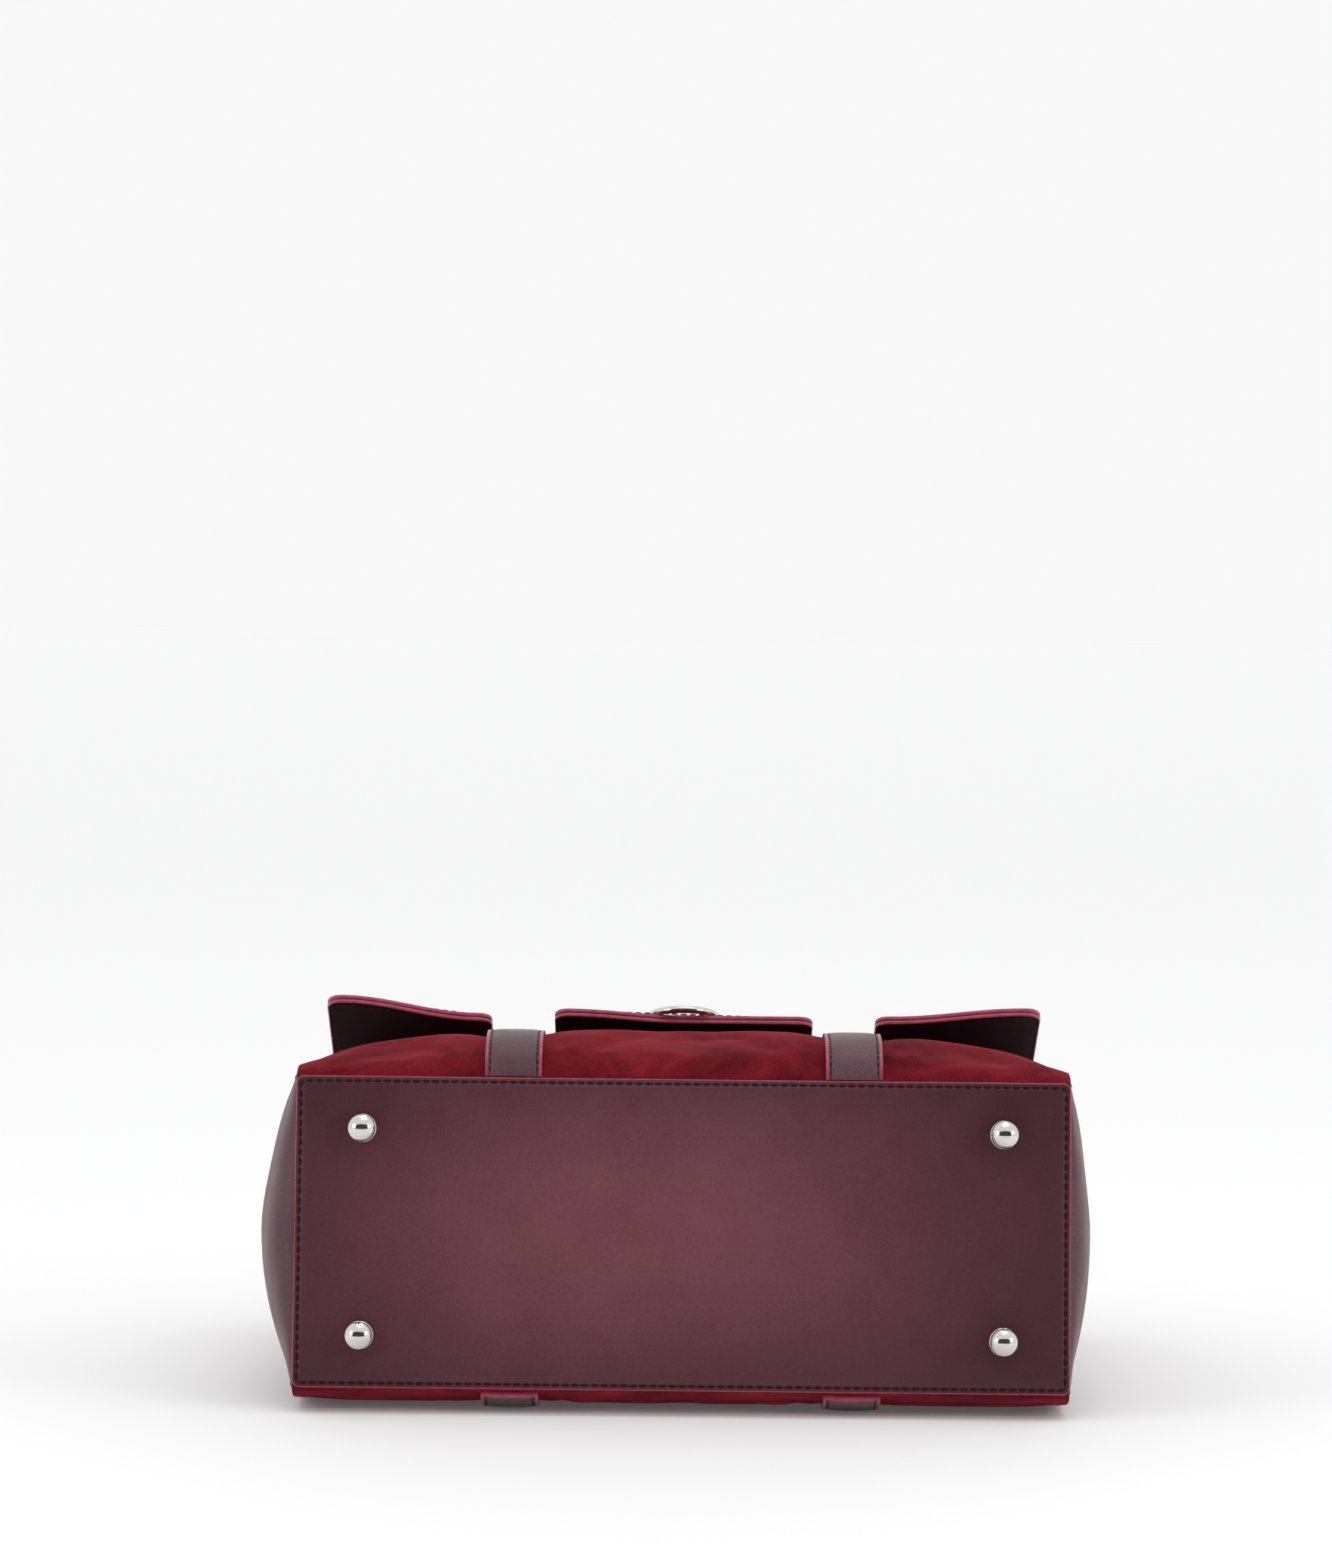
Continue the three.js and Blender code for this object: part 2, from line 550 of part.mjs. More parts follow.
function buildRing(tabs) {
  const pivotS = TAB_LENGTH + RING_OVERHANG - 2 * RING_RADIUS - RING_WIRE;
  const bellyThere = TAB_BELLY * Math.sin(Math.PI * (pivotS - KEEPER_LENGTH) / TAB_LENGTH);
  const face = FLAP_THICKNESS / 2 + bellyThere;
  const pivotZ = GAP + KEEPER_WALL + KEEPER_BORE;

  // The keeper is a strip folded round the ring and sewn flat to the tab.
  const loop = KEEPER_BORE + KEEPER_WALL;
  const tongue = 2 * KEEPER_WALL + GAP;
  const meet = Math.asin((tongue - pivotZ) / loop);
  const outline = new THREE.Shape();
  outline.moveTo(-pivotS + KEEPER_LENGTH, GAP);
  outline.lineTo(-pivotS + KEEPER_LENGTH, tongue);
  outline.absarc(-pivotS, pivotZ, loop, meet, 1.5 * Math.PI, false);
  const bore = new THREE.Path();
  bore.absarc(-pivotS, pivotZ, KEEPER_BORE, 0, 2 * Math.PI, true);
  outline.holes.push(bore);
  const options = { depth: KEEPER_WIDTH, bevelEnabled: false, curveSegments: 16 };
  const keeper = new THREE.ExtrudeGeometry(outline, options);
  const sideways = new THREE.Matrix4().makeBasis(
    new THREE.Vector3(0, 1, 0),
    new THREE.Vector3(0, 0, 1),
    new THREE.Vector3(1, 0, 0),
  );
  keeper.applyMatrix4(sideways);
  keeper.translate(-KEEPER_WIDTH / 2, 0, face);
  addPiece(tabs, 'ring_keeper', keeper, plumLeather);

  // The ring hangs in the keeper and lies on the tab's free edge.
  const edgeZ = FLAP_THICKNESS / 2 + GAP + RING_WIRE;
  const drop = Math.asin((face + pivotZ - edgeZ) / (TAB_LENGTH - pivotS));
  const ring = new THREE.TorusGeometry(RING_RADIUS, RING_WIRE, 10, 32);
  ring.translate(0, -RING_RADIUS, 0);
  const mesh = addPiece(tabs, 'pull_ring', ring, nickel);
  mesh.position.set(0, -pivotS, face + pivotZ);
  mesh.rotation.x = drop;
}

function discAlongZ(radius, thickness) {
  return new THREE.CylinderGeometry(radius, radius, thickness, 20).rotateX(Math.PI / 2);
}

function buildSnapStud(tabs) {
  const share = SNAP_FROM_CREASE / TAB_LENGTH;
  const belly = TAB_BELLY * Math.sin(Math.PI * share);
  const turn = Math.atan(TAB_BELLY * Math.PI * Math.cos(Math.PI * share) / TAB_LENGTH);
  const stud = addPiece(tabs, 'snap_stud', discAlongZ(SNAP_RADIUS, SNAP_THICKNESS), nickel);
  stud.position.set(0, -SNAP_FROM_CREASE, belly - FLAP_THICKNESS / 2 - SNAP_STANDOFF);
  stud.rotation.x = -turn;
}

// The other half of the snap sits on the front panel.
function buildSnapSocket(bag) {
  const y = snapHeight();
  const normal = normalAt(frontSurface, 0, y);
  const socket = addPiece(bag, 'snap_socket', discAlongZ(SNAP_RADIUS, SNAP_THICKNESS), nickel);
  socket.position.copy(frontSurface(0, y).addScaledVector(normal, SNAP_STANDOFF));
  socket.rotation.x = -Math.atan2(normal.y, normal.z);
}

// ---- Handles ------------------------------------------------------------------------------
// Drawn in the handle's own axes: origin on the bend, Y up the handle, Z out of the bag.
function handleSolid() {
  const sink = HANDLE_RADIUS - STRAP_THICKNESS / 2 + GRIP_SINK;
  const gripStart = Math.asin(((HANDLE_LEG - GRIP_OVERLAP) / HANDLE_DROP) ** 2);
  const path = spread(gripStart, Math.PI - gripStart, 24).map((angle) => {
    const across = Math.sign(Math.cos(angle)) * Math.sqrt(Math.abs(Math.cos(angle)));
    const up = Math.sqrt(Math.sin(angle));
    return new THREE.Vector3(HANDLE_HALF_SPAN * across, HANDLE_DROP * up, -sink);
  });
  const section = new THREE.Shape();
  section.absarc(0, 0, HANDLE_RADIUS, 0, 2 * Math.PI);
  const grip = new THREE.ExtrudeGeometry(section, {
    steps: 34,
    curveSegments: 5,
    extrudePath: new THREE.CatmullRomCurve3(path),
  });
  let solid = toSolid(grip);
  for (const side of [-1, 1]) {
    const leg = new THREE.Shape();
    const half = STRAP_WIDTH / 2;
    leg.moveTo(-half, HINGE_ROOM);
    leg.lineTo(half, HINGE_ROOM);
    leg.lineTo(half, HANDLE_LEG * LEG_SHOULDER);
    leg.lineTo(HANDLE_RADIUS * LEG_TIP, HANDLE_LEG);
    leg.lineTo(-HANDLE_RADIUS * LEG_TIP, HANDLE_LEG);
    leg.lineTo(-half, HANDLE_LEG * LEG_SHOULDER);
    const options = { depth: STRAP_THICKNESS, bevelEnabled: false };
    const plate = new THREE.ExtrudeGeometry(leg, options);
    plate.translate(side * STRAP_X, 0, -STRAP_THICKNESS / 2);
    solid = solid.add(toSolid(plate));
  }
  return fromSolid(solid);
}

function buildHandles(bag) {
  const skin = (a, b) => frontSurface(STRAP_X, b).setX(a);
  const frontNormal = normalAt(skin, STRAP_X, HEIGHT - STRAP_TOP_FREE);
  const mid = GAP + STRAP_THICKNESS / 2;
  const start = skin(STRAP_X, HEIGHT - STRAP_TOP_FREE).addScaledVector(frontNormal, mid);
  const along = new THREE.Vector3(0, frontNormal.z, -frontNormal.y);
  const frontPivot = start.addScaledVector(along, HANDLE_PIVOT_RISE + STRAP_TOP_FREE);
  const front = addPiece(bag, 'front_handle', handleSolid(), strapLeather);
  front.position.set(0, frontPivot.y, frontPivot.z);
  front.rotation.x = FRONT_HANDLE_LEAN;

  const back = addPiece(bag, 'back_handle', handleSolid(), strapLeather);
  const backMid = backStrapDepth(HANDLE_PIVOT_Y) - (STRAP_THICKNESS / 2) * Math.hypot(1, PLANE_SLOPE);
  back.position.set(0, HANDLE_PIVOT_Y, -backMid);
  back.rotation.y = Math.PI;
  back.rotation.x = LIE_BACK;
}

// ---- The whole bag ------------------------------------------------------------------------
function buildBag() {
  const bag = new THREE.Group();
  bag.name = 'satchel_axes';
  buildBase(bag);
  buildFeet(bag);
  buildWalls(bag);
  buildStraps(bag);
  buildLining(bag);
  buildFlapTop(bag);
  buildTabs(bag);
  buildSnapSocket(bag);
  buildHandles(bag);
  bag.rotation.x = -LIE_BACK;
  return bag;
}

// The origin is under the middle of the bag's box, on the plane that its back lies on.
const satchel = new THREE.Group();
const bag = buildBag();
satchel.add(bag);
satchel.updateMatrixWorld(true);
const box = new THREE.Box3().setFromObject(satchel, true);
bag.position.set(0, -(box.min.y + box.max.y) / 2, -box.min.z);
satchel.updateMatrixWorld(true);

export default satchel;
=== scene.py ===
# %% [markdown]
# # A satchel bag on its back
# The bag's working parts come from the CAD model, which this script loads as a fixed frame.
# Blender gives the bag its looks: leather and suede with thickness, painted edges, stitches,
# polished fittings, and the way soft panels swell between their seams.
# %% Load the frame
import json
import math

import bpy
import numpy as np
from bpy import ops
from mathutils import Matrix, Vector
from mathutils import noise as hills


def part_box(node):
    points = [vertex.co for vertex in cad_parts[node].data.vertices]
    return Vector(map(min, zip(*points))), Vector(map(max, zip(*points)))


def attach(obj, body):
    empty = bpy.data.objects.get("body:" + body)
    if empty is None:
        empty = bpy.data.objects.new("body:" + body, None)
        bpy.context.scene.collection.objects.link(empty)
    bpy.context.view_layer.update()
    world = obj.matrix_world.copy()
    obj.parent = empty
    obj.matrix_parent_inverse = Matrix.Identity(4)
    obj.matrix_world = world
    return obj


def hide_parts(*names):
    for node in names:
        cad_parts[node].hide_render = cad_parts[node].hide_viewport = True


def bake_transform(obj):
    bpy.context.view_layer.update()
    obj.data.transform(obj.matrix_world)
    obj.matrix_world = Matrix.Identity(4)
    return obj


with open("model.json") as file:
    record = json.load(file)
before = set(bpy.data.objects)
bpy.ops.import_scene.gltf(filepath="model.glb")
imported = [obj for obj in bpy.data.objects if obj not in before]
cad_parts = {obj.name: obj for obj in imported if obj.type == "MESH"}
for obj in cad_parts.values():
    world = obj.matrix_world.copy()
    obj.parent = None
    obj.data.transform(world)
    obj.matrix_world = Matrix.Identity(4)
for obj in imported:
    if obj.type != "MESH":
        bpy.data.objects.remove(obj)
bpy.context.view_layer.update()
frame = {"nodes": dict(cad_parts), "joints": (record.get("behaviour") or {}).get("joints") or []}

mm = 0.001

# %% [markdown]
# ## The camera
# The bag is looked at from its base, from a little over two metres away through a long lens,
# so that its depth is hardly foreshortened. The camera stands just above the bag and looks
# slightly down. Its turn is built from three small angles, which are easier to reason about
# than one set of Euler angles.
# %% Camera
camera_place = Vector((-0.0055, -2.177, 0.3423))
look_down = math.radians(2.349)
look_left = math.radians(0.091)
horizon_tilt = math.radians(0.614)

ops.object.camera_add(location=camera_place)
camera = bpy.context.object
aim = Matrix.Rotation(look_left, 3, "Z") @ Matrix.Rotation(math.pi / 2 - look_down, 3, "X")
camera.rotation_euler = (aim @ Matrix.Rotation(horizon_tilt, 3, "Z")).to_euler()
camera.data.lens = 112
camera.data.sensor_width = 36
bpy.context.scene.camera = camera

# %% [markdown]
# ## Floor and light
# A pale floor runs out to a pale surround of nearly its own brightness, so its far edge hardly
# shows. The light is a white surround with three soft boxes: one high over the bag, and one on each side
# of the camera, which draw the highlights on the metal. A dark screen behind the camera gives
# polished metal something dark to mirror. The camera doesn't see the lights or the screen.
# %% Floor and light
scene = bpy.context.scene
scene.view_settings.view_transform = "Standard"
world = bpy.data.worlds.new("pale_surround")
scene.world = world
world.use_nodes = True
world.node_tree.nodes["Background"].inputs["Color"].default_value = (1, 1, 1, 1)
world.node_tree.nodes["Background"].inputs["Strength"].default_value = 0.94


def plain_material(name, colour, roughness):
    finish = bpy.data.materials.new(name)
    finish.use_nodes = True
    shader = finish.node_tree.nodes["Principled BSDF"]
    shader.inputs["Base Color"].default_value = (*colour, 1)
    shader.inputs["Roughness"].default_value = roughness
    return finish


ops.mesh.primitive_circle_add(vertices=96, radius=30, fill_type="NGON")
floor = bpy.context.object
floor.name = "floor"
pale_floor = plain_material("pale_floor", (0.92, 0.92, 0.925), 0.75)
floor_shader = pale_floor.node_tree.nodes["Principled BSDF"]
floor_shader.inputs["Specular IOR Level"].default_value = 0.2
floor_shader.inputs["Emission Color"].default_value = (1, 1, 1, 1)
floor_shader.inputs["Emission Strength"].default_value = 0.07
floor.data.materials.append(pale_floor)


def soft_box(name, place, target, size, power):
    ops.object.light_add(type="AREA", location=place)
    lamp = bpy.context.object
    lamp.name = name
    lamp.data.size = size
    lamp.data.energy = power
    way = Vector(target) - Vector(place)
    lamp.rotation_euler = way.to_track_quat("-Z", "Y").to_euler()
    lamp.visible_camera = False
    return lamp


soft_box("soft_box_over", (0.2, -0.3, 2.0), (0, 0, 0.1), 1.2, 4)
soft_box("soft_box_left", (-1.35, -0.95, 0.55), (0, 0, 0.06), 0.6, 3.4)
soft_box("soft_box_right", (1.35, -0.95, 0.6), (0, 0, 0.06), 0.5, 3.8)

ops.mesh.primitive_plane_add(size=1, location=(0, -3.6, 1.25), rotation=(math.pi / 2, 0, 0))
screen = bpy.context.object
screen.data.transform(Matrix.Diagonal((6.4, 2.4, 1, 1)))
screen.name = "dark_screen"
screen.data.materials.append(plain_material("black_cloth", (0.06, 0.055, 0.055), 0.9))
screen.visible_camera = False

# %% [markdown]
# ## The bag's own axes
# The bag was designed standing up: X across, Y from its base to its mouth, Z out of its front.
# It lies tipped on its back, so every piece is drawn in those axes and then tipped as one.
# The feet give the tilt: the line from a back foot to the front foot above it is the bag's Z.
# %% Bag axes
def middle(node):
    low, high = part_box(node)
    return (low + high) / 2


out_of_front = (middle("foot_1") - middle("foot_3")).normalized()
across = Vector((1, 0, 0))
up_the_bag = out_of_front.cross(across)
bag_turn = Matrix((across, up_the_bag, out_of_front)).transposed()
turned = [bag_turn.transposed() @ v.co for v in frame["nodes"]["base_panel"].data.vertices]
base_top = max(v.y for v in turned)
base_mid_z = (min(v.z for v in turned) + max(v.z for v in turned)) / 2
bag_origin = bag_turn @ Vector((0, base_top, base_mid_z))
bag_to_row = Matrix.Translation(bag_origin) @ bag_turn.to_4x4()
row_to_bag = bag_to_row.inverted()


def bag_box(node):
    """Lowest and highest corner of a CAD node in the bag's own axes."""
    corners = [row_to_bag @ v.co for v in frame["nodes"][node].data.vertices]
    low = Vector(min(c[i] for c in corners) for i in range(3))
    high = Vector(max(c[i] for c in corners) for i in range(3))
    return low, high


def in_row(y, z, x=0.0):
    """A point of the bag's own axes, given by its height and depth, in the row frame."""
    return bag_to_row @ Vector((x, y, z))


def joint_place(name):
    """Where a joint is in the bag's own axes."""
    return row_to_bag @ Vector(next(j["pos_m"] for j in frame["joints"] if j["name"] == name))


print("the bag lies tipped by", round(math.degrees(math.atan2(-up_the_bag.z, up_the_bag.y)), 2))

# %% [markdown]
# ## The bag's shape
# The side seams run in from a deep base to a shallower mouth and swell a little above the base.
# The front crowns out between its seams, the gussets belly out sideways, and the back is held
# flat by its straps. These few formulas place every panel, strap and stitch.
# %% Overall sizes
half_width = bag_box("base_panel")[1].x
base_depth = 2 * bag_box("base_panel")[1].z
height = bag_box("gusset_left")[1].y
base_leather = -bag_box("base_panel")[0].y
mouth_depth = 84 * mm
seam_swell = 8.5 * mm
front_bulge = 15 * mm
back_swell = 10.75 * mm
gap = 0.3 * mm
suede = 2 * mm
strap_width = bag_box("back_strap_left")[1].x - bag_box("back_strap_left")[0].x
strap_x = (bag_box("back_strap_right")[0].x + bag_box("back_strap_right")[1].x) / 2
strap_leather = 2.6 * mm
strap_lift = strap_leather + gap
band_leather = 1.6 * mm
band_lift = band_leather + gap
band_foot = bag_box("flap_band")[0].y
print("base", round(2 * half_width / mm), "by", round(base_depth / mm), "mm, height", height / mm)


def swell(y):
    return np.sin(np.pi * np.sqrt(np.clip(y / height, 0, 1)))


def crown(x, power):
    return 1 - np.minimum(1, np.abs(x) / half_width) ** power


def smooth(t):
    t = np.clip(t, 0, 1)
    return t * t * (3 - 2 * t)


def seam_depth(y):
    return base_depth / 2 + (mouth_depth - base_depth) / 2 * y / height + seam_swell * swell(y)


def front_depth(x, y):
    return seam_depth(y) + front_bulge * swell(y) * crown(x, 3.5)


plane_at_base = base_depth / 2 + back_swell
plane_at_top = mouth_depth / 2 + strap_lift + band_lift + 0.8 * mm
plane_slope = (plane_at_base - plane_at_top) / height


def back_strap_depth(y):
    dip = back_swell - strap_lift - 0.4 * mm
    foot = np.maximum(0, 1 - y / (25 * mm)) ** 2
    return plane_at_base - plane_slope * y - dip * foot


def back_depth(x, y):
    under_band = band_lift * smooth((y - band_foot + 15 * mm) / (15 * mm))
    flat = back_strap_depth(y) - strap_lift - under_band
    return seam_depth(y) + (flat - seam_depth(y)) * crown(x, 4)


def gusset_reach(y, z, bulge):
    share = np.minimum(1, np.abs(z) / seam_depth(y))
    return half_width + bulge * swell(y) * np.cos(np.pi / 2 * share)


# %% [markdown]
# ## Working methods
# Nearly every part of a bag is a sheet, so one helper lays a grid primitive on a surface, and
# another gives it thickness with Solidify and rounds its cut edges with Bevel. Each grid point
# also stores how far it is from the sheet's edge, which the leather reads to press a groove
# under the stitches. Everything is deselected before each primitive, because operators act
# on all that is selected.
# %% Helpers for sheets
def deselect():
    ops.object.select_all(action="DESELECT")


def select_only(piece):
    deselect()
    piece.select_set(True)
    bpy.context.view_layer.objects.active = piece


def points_of(piece):
    flat = np.empty(3 * len(piece.data.vertices))
    piece.data.vertices.foreach_get("co", flat)
    return flat.reshape(-1, 3)


def move_points(piece, points):
    piece.data.vertices.foreach_set("co", np.asarray(points, float).ravel())
    piece.data.update()


def lay_grid(name, columns, rows, surface, from_edge=None):
    """A grid with a line at each column and row value; surface(a, b) gives x, y and z."""
    deselect()
    columns, rows = np.asarray(columns, float), np.asarray(rows, float)
    ops.mesh.primitive_grid_add(
        x_subdivisions=len(columns) - 1, y_subdivisions=len(rows) - 1, size=1, calc_uvs=True)
    piece = bpy.context.object
    piece.name = name
    piece.data.materials.append(None)
    piece.data.materials.append(None)
    flat = points_of(piece)
    a = columns[np.rint((flat[:, 0] + 0.5) * (len(columns) - 1)).astype(int)]
    b = rows[np.rint((flat[:, 1] + 0.5) * (len(rows) - 1)).astype(int)]
    move_points(piece, np.stack(np.broadcast_arrays(*surface(a, b)), 1))
    if from_edge is not None:
        distance = np.broadcast_to(from_edge(a, b), a.shape).astype(np.float32)
        piece.data.attributes.new("from_edge", "FLOAT", "POINT").data.foreach_set("value", distance)
    return piece


def apply_modifiers(piece):
    select_only(piece)
    for name in [m.name for m in piece.modifiers]:
        ops.object.modifier_apply(modifier=name)


def face_out(piece, out_way):
    """Turns an open sheet's faces over if they look away from out_way."""
    normal = sum((Vector(p.normal) * p.area for p in piece.data.polygons), Vector())
    if normal.dot(Vector(out_way)) < 0:
        piece.data.flip_normals()


def thicken(piece, thickness, round_to=0.0, painted=False, segments=3):
    """Gives a sheet thickness behind its outer face, then rounds its rim, painted or not."""
    solid = piece.modifiers.new("thickness", "SOLIDIFY")
    solid.thickness = thickness
    solid.offset = -1
    solid.use_even_offset = False
    if painted:
        solid.material_offset_rim = 1
    if round_to:
        bevel = piece.modifiers.new("rounded rim", "BEVEL")
        bevel.width = round_to
        bevel.segments = segments
        bevel.limit_method = "ANGLE"
        bevel.angle_limit = math.radians(55)
        if painted:
            bevel.material = 1
    apply_modifiers(piece)
    return piece


def tip(piece):
    """Takes a finished piece from the bag's own axes to the row frame, and smooths its shading."""
    piece.data.transform(bag_to_row)
    select_only(piece)
    ops.object.shade_smooth_by_angle(angle=math.radians(40))
    return piece


def pick(piece, kind, chosen):
    """Goes into edit mode with only the piece's edges or faces selected that chosen(part) picks."""
    select_only(piece)
    ops.object.mode_set(mode="EDIT")
    ops.mesh.select_mode(type=kind)
    ops.mesh.select_all(action="DESELECT")
    ops.object.mode_set(mode="OBJECT")
    for part in piece.data.edges if kind == "EDGE" else piece.data.polygons:
        part.select = bool(chosen(part))
    ops.object.mode_set(mode="EDIT")


def join(name, pieces):
    deselect()
    for piece in pieces:
        piece.select_set(True)
    bpy.context.view_layer.objects.active = pieces[0]
    ops.object.join()
    pieces[0].name = name
    return pieces[0]


def finish_piece(piece, body, finishes, stands_for=()):
    """Gives a piece its materials and body, and hides the CAD nodes that it stands for."""
    for i, finish in enumerate(finishes):
        if i < len(piece.data.materials):
            piece.data.materials[i] = finish
        else:
            piece.data.materials.append(finish)
    while len(piece.data.materials) > len(finishes):
        piece.data.materials.pop()
    if body:
        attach(piece, body)
    if stands_for:
        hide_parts(*stands_for)
    print(f"{piece.name}: {len(piece.data.polygons)} faces")
    return piece


def spread(start, end, steps):
    return np.linspace(start, end, steps + 1)


def run_along(points):
    """How far each point of a line is along it."""
    return np.concatenate([[0], np.cumsum(np.linalg.norm(np.diff(points, axis=0), axis=1))])


def edge_fine(half, fine=(0, 0.5, 1.1, 1.6, 2.0, 2.4, 3.0, 4.0, 6.0), coarse=6):
    """Grid lines over a width: close together near both edges, in mm from each, then even."""
    fine = np.array(fine) * mm
    inner = half - fine[-1]
    count = max(1, int(round(2 * inner / (coarse * mm))))
    return np.concatenate([-half + fine, spread(-inner, inner, count)[1:-1], (half - fine)[::-1]])


# %% [markdown]
# ## Leather
# Bag leather is finished with a thin satin coat over a fine grain. Its colour drifts a little
# from place to place. The grain is small cells, drawn by Voronoi noise at about a millimetre,
# and a softer unevenness under it catches long highlights. A groove is pressed along every
# line of stitches: it follows the stored distance from the sheet's edge.
# %% Leather material
def new_node(tree, kind, settings=None, **values):
    node = tree.nodes.new(kind)
    for key, value in (settings or {}).items():
        setattr(node, key, value)
    for key, value in values.items():
        node.inputs[key.replace("_", " ")].default_value = value
    return node


def open_material(name, colour=(0.5, 0.5, 0.5), roughness=0.5):
    """A plain material, its node tree, its shader and the object's coordinates."""
    finish = plain_material(name, colour, roughness)
    tree = finish.node_tree
    coords = tree.nodes.new("ShaderNodeTexCoord").outputs["Object"]
    return finish, tree, tree.nodes["Principled BSDF"], coords


def press(tree, shader, relief, strength, depth):
    """Gives a material a relief of a depth, without moving its points."""
    bump = new_node(tree, "ShaderNodeBump", Strength=strength, Distance=depth)
    tree.links.new(relief, bump.inputs["Height"])
    tree.links.new(bump.outputs["Normal"], shader.inputs["Normal"])


def noise(tree, coords, scale, detail=4.0, roughness=0.55):
    node = new_node(tree, "ShaderNodeTexNoise", Scale=scale, Detail=detail, Roughness=roughness)
    tree.links.new(coords, node.inputs["Vector"])
    return node.outputs["Fac"]


def ramp(tree, factor, stops):
    """A colour ramp from pairs of place and colour."""
    node = tree.nodes.new("ShaderNodeValToRGB")
    line = node.color_ramp
    while len(line.elements) < len(stops):
        line.elements.new(0.5)
    for element, (place, colour) in zip(line.elements, stops):
        element.position = place
        element.color = (*colour, 1)
    tree.links.new(factor, node.inputs["Fac"])
    return node.outputs["Color"]


def arithmetic(tree, operation, first, second):
    node = new_node(tree, "ShaderNodeMath", {"operation": operation})
    for socket, value in zip(node.inputs, (first, second)):
        if isinstance(value, (int, float)):
            socket.default_value = value
        else:
            tree.links.new(value, socket)
    return node.outputs[0]


def stretch(tree, factor, low, high, to_low, to_high):
    node = new_node(tree, "ShaderNodeMapRange", From_Min=low, From_Max=high,
                    To_Min=to_low, To_Max=to_high)
    tree.links.new(factor, node.inputs["Value"])
    return node.outputs["Result"]


def leather(name, dark, light, roughness=0.44, grain=0.28, stitch_at=2.0, shine=0.3,
            handled=None):
    """Leather between two colours. handled is the middle and reach of a paler zone: painted highlight.
    """
    finish, tree, shader, coords = open_material(name)
    drift = noise(tree, coords, 14, 5, 0.6)
    speckle = noise(tree, coords, 900, 2, 0.6)
    mixed = arithmetic(tree, "ADD", arithmetic(tree, "MULTIPLY", drift, 0.55),
                       arithmetic(tree, "MULTIPLY", speckle, 0.45))
    colour = ramp(tree, mixed, [(0.36, dark), (0.64, light)])
    from_edge = new_node(tree, "ShaderNodeAttribute", {"attribute_name": "from_edge"})
    off_line = arithmetic(tree, "ABSOLUTE",
                          arithmetic(tree, "SUBTRACT", from_edge.outputs["Fac"], stitch_at), 0)
    groove = stretch(tree, off_line, 0.0, 0.75, 0.0, 1.0)
    shade = new_node(tree, "ShaderNodeMix", {"data_type": "RGBA"})
    tree.links.new(stretch(tree, groove, 0, 1, 0.75, 0), shade.inputs["Factor"])
    tree.links.new(colour, shade.inputs[6])
    shade.inputs[7].default_value = (*(0.22 * c for c in dark), 1)
    shaded = shade.outputs[2]
    shader.inputs["Specular IOR Level"].default_value = shine
    # Painted highlight and shade: the colour is paler in a zone round the given middle and darker away
    # from it, as a soft box's broad glow lights the leather.
    if handled:
        centre, reach = handled
        zone = new_node(tree, "ShaderNodeMapping", Scale=[1 / r for r in reach],
                        Location=[-c / r for c, r in zip(centre, reach)])
        tree.links.new(coords, zone.inputs["Vector"])
        away = new_node(tree, "ShaderNodeVectorMath", {"operation": "LENGTH"})
        tree.links.new(zone.outputs["Vector"], away.inputs[0])
        off = arithmetic(tree, "ADD", away.outputs["Value"],
                         arithmetic(tree, "MULTIPLY", noise(tree, coords, 9, 3), 0.35))
        share = new_node(tree, "ShaderNodeMapRange", {"interpolation_type": "SMOOTHSTEP"},
                         From_Min=0.25, From_Max=1.3, To_Min=1.0, To_Max=0.0)
        tree.links.new(off, share.inputs["Value"])
        paler = new_node(tree, "ShaderNodeMix", {"data_type": "RGBA", "blend_type": "MULTIPLY"})
        tree.links.new(stretch(tree, share.outputs["Result"], 0, 1, 1, 0), paler.inputs["Factor"])
        tree.links.new(shaded, paler.inputs[6])
        paler.inputs[7].default_value = (0.33, 0.20, 0.24, 1)
        shaded = paler.outputs[2]
    tree.links.new(shaded, shader.inputs["Base Color"])
    cells = new_node(tree, "ShaderNodeTexVoronoi", {"feature": "SMOOTH_F1"}, Scale=1150.0)
    tree.links.new(coords, cells.inputs["Vector"])
    uneven = noise(tree, coords, 220, 3, 0.55)
    relief = arithmetic(tree, "ADD", arithmetic(tree, "MULTIPLY", cells.outputs["Distance"], 0.5),
                        arithmetic(tree, "MULTIPLY", uneven, 0.9))
    relief = arithmetic(tree, "ADD", relief, arithmetic(tree, "MULTIPLY", groove, 1.6))
    press(tree, shader, relief, grain, 0.3 * mm)
    gloss = stretch(tree, noise(tree, coords, 60, 3), 0.3, 0.7, roughness - 0.05, roughness + 0.07)
    tree.links.new(gloss, shader.inputs["Roughness"])
    return finish


plum_leather = leather("plum leather", (0.058, 0.018, 0.026), (0.105, 0.040, 0.052), 0.46,
                       shine=0.42)
# The base's leather has a painted highlight in its middle and painted shade towards its edges.
plum_base = leather("plum leather, handled", (0.134, 0.033, 0.049), (0.178, 0.055, 0.076), 0.46,
                    shine=0.4, handled=((-0.02, 0, 0.078), (0.19, 5.0, 0.092)))
plum_strap = leather("plum strap leather", (0.070, 0.030, 0.039), (0.122, 0.060, 0.071), 0.43,
                     shine=0.36)
# A darker copy of the plum leather for the flap's under layer: painted shade on the undersides, which
# face away from the light.
plum_leather_painted_shade = leather("plum leather, flesh side", (0.010, 0.0022, 0.0036),
                           (0.019, 0.0046, 0.0075), 0.6, shine=0.1)

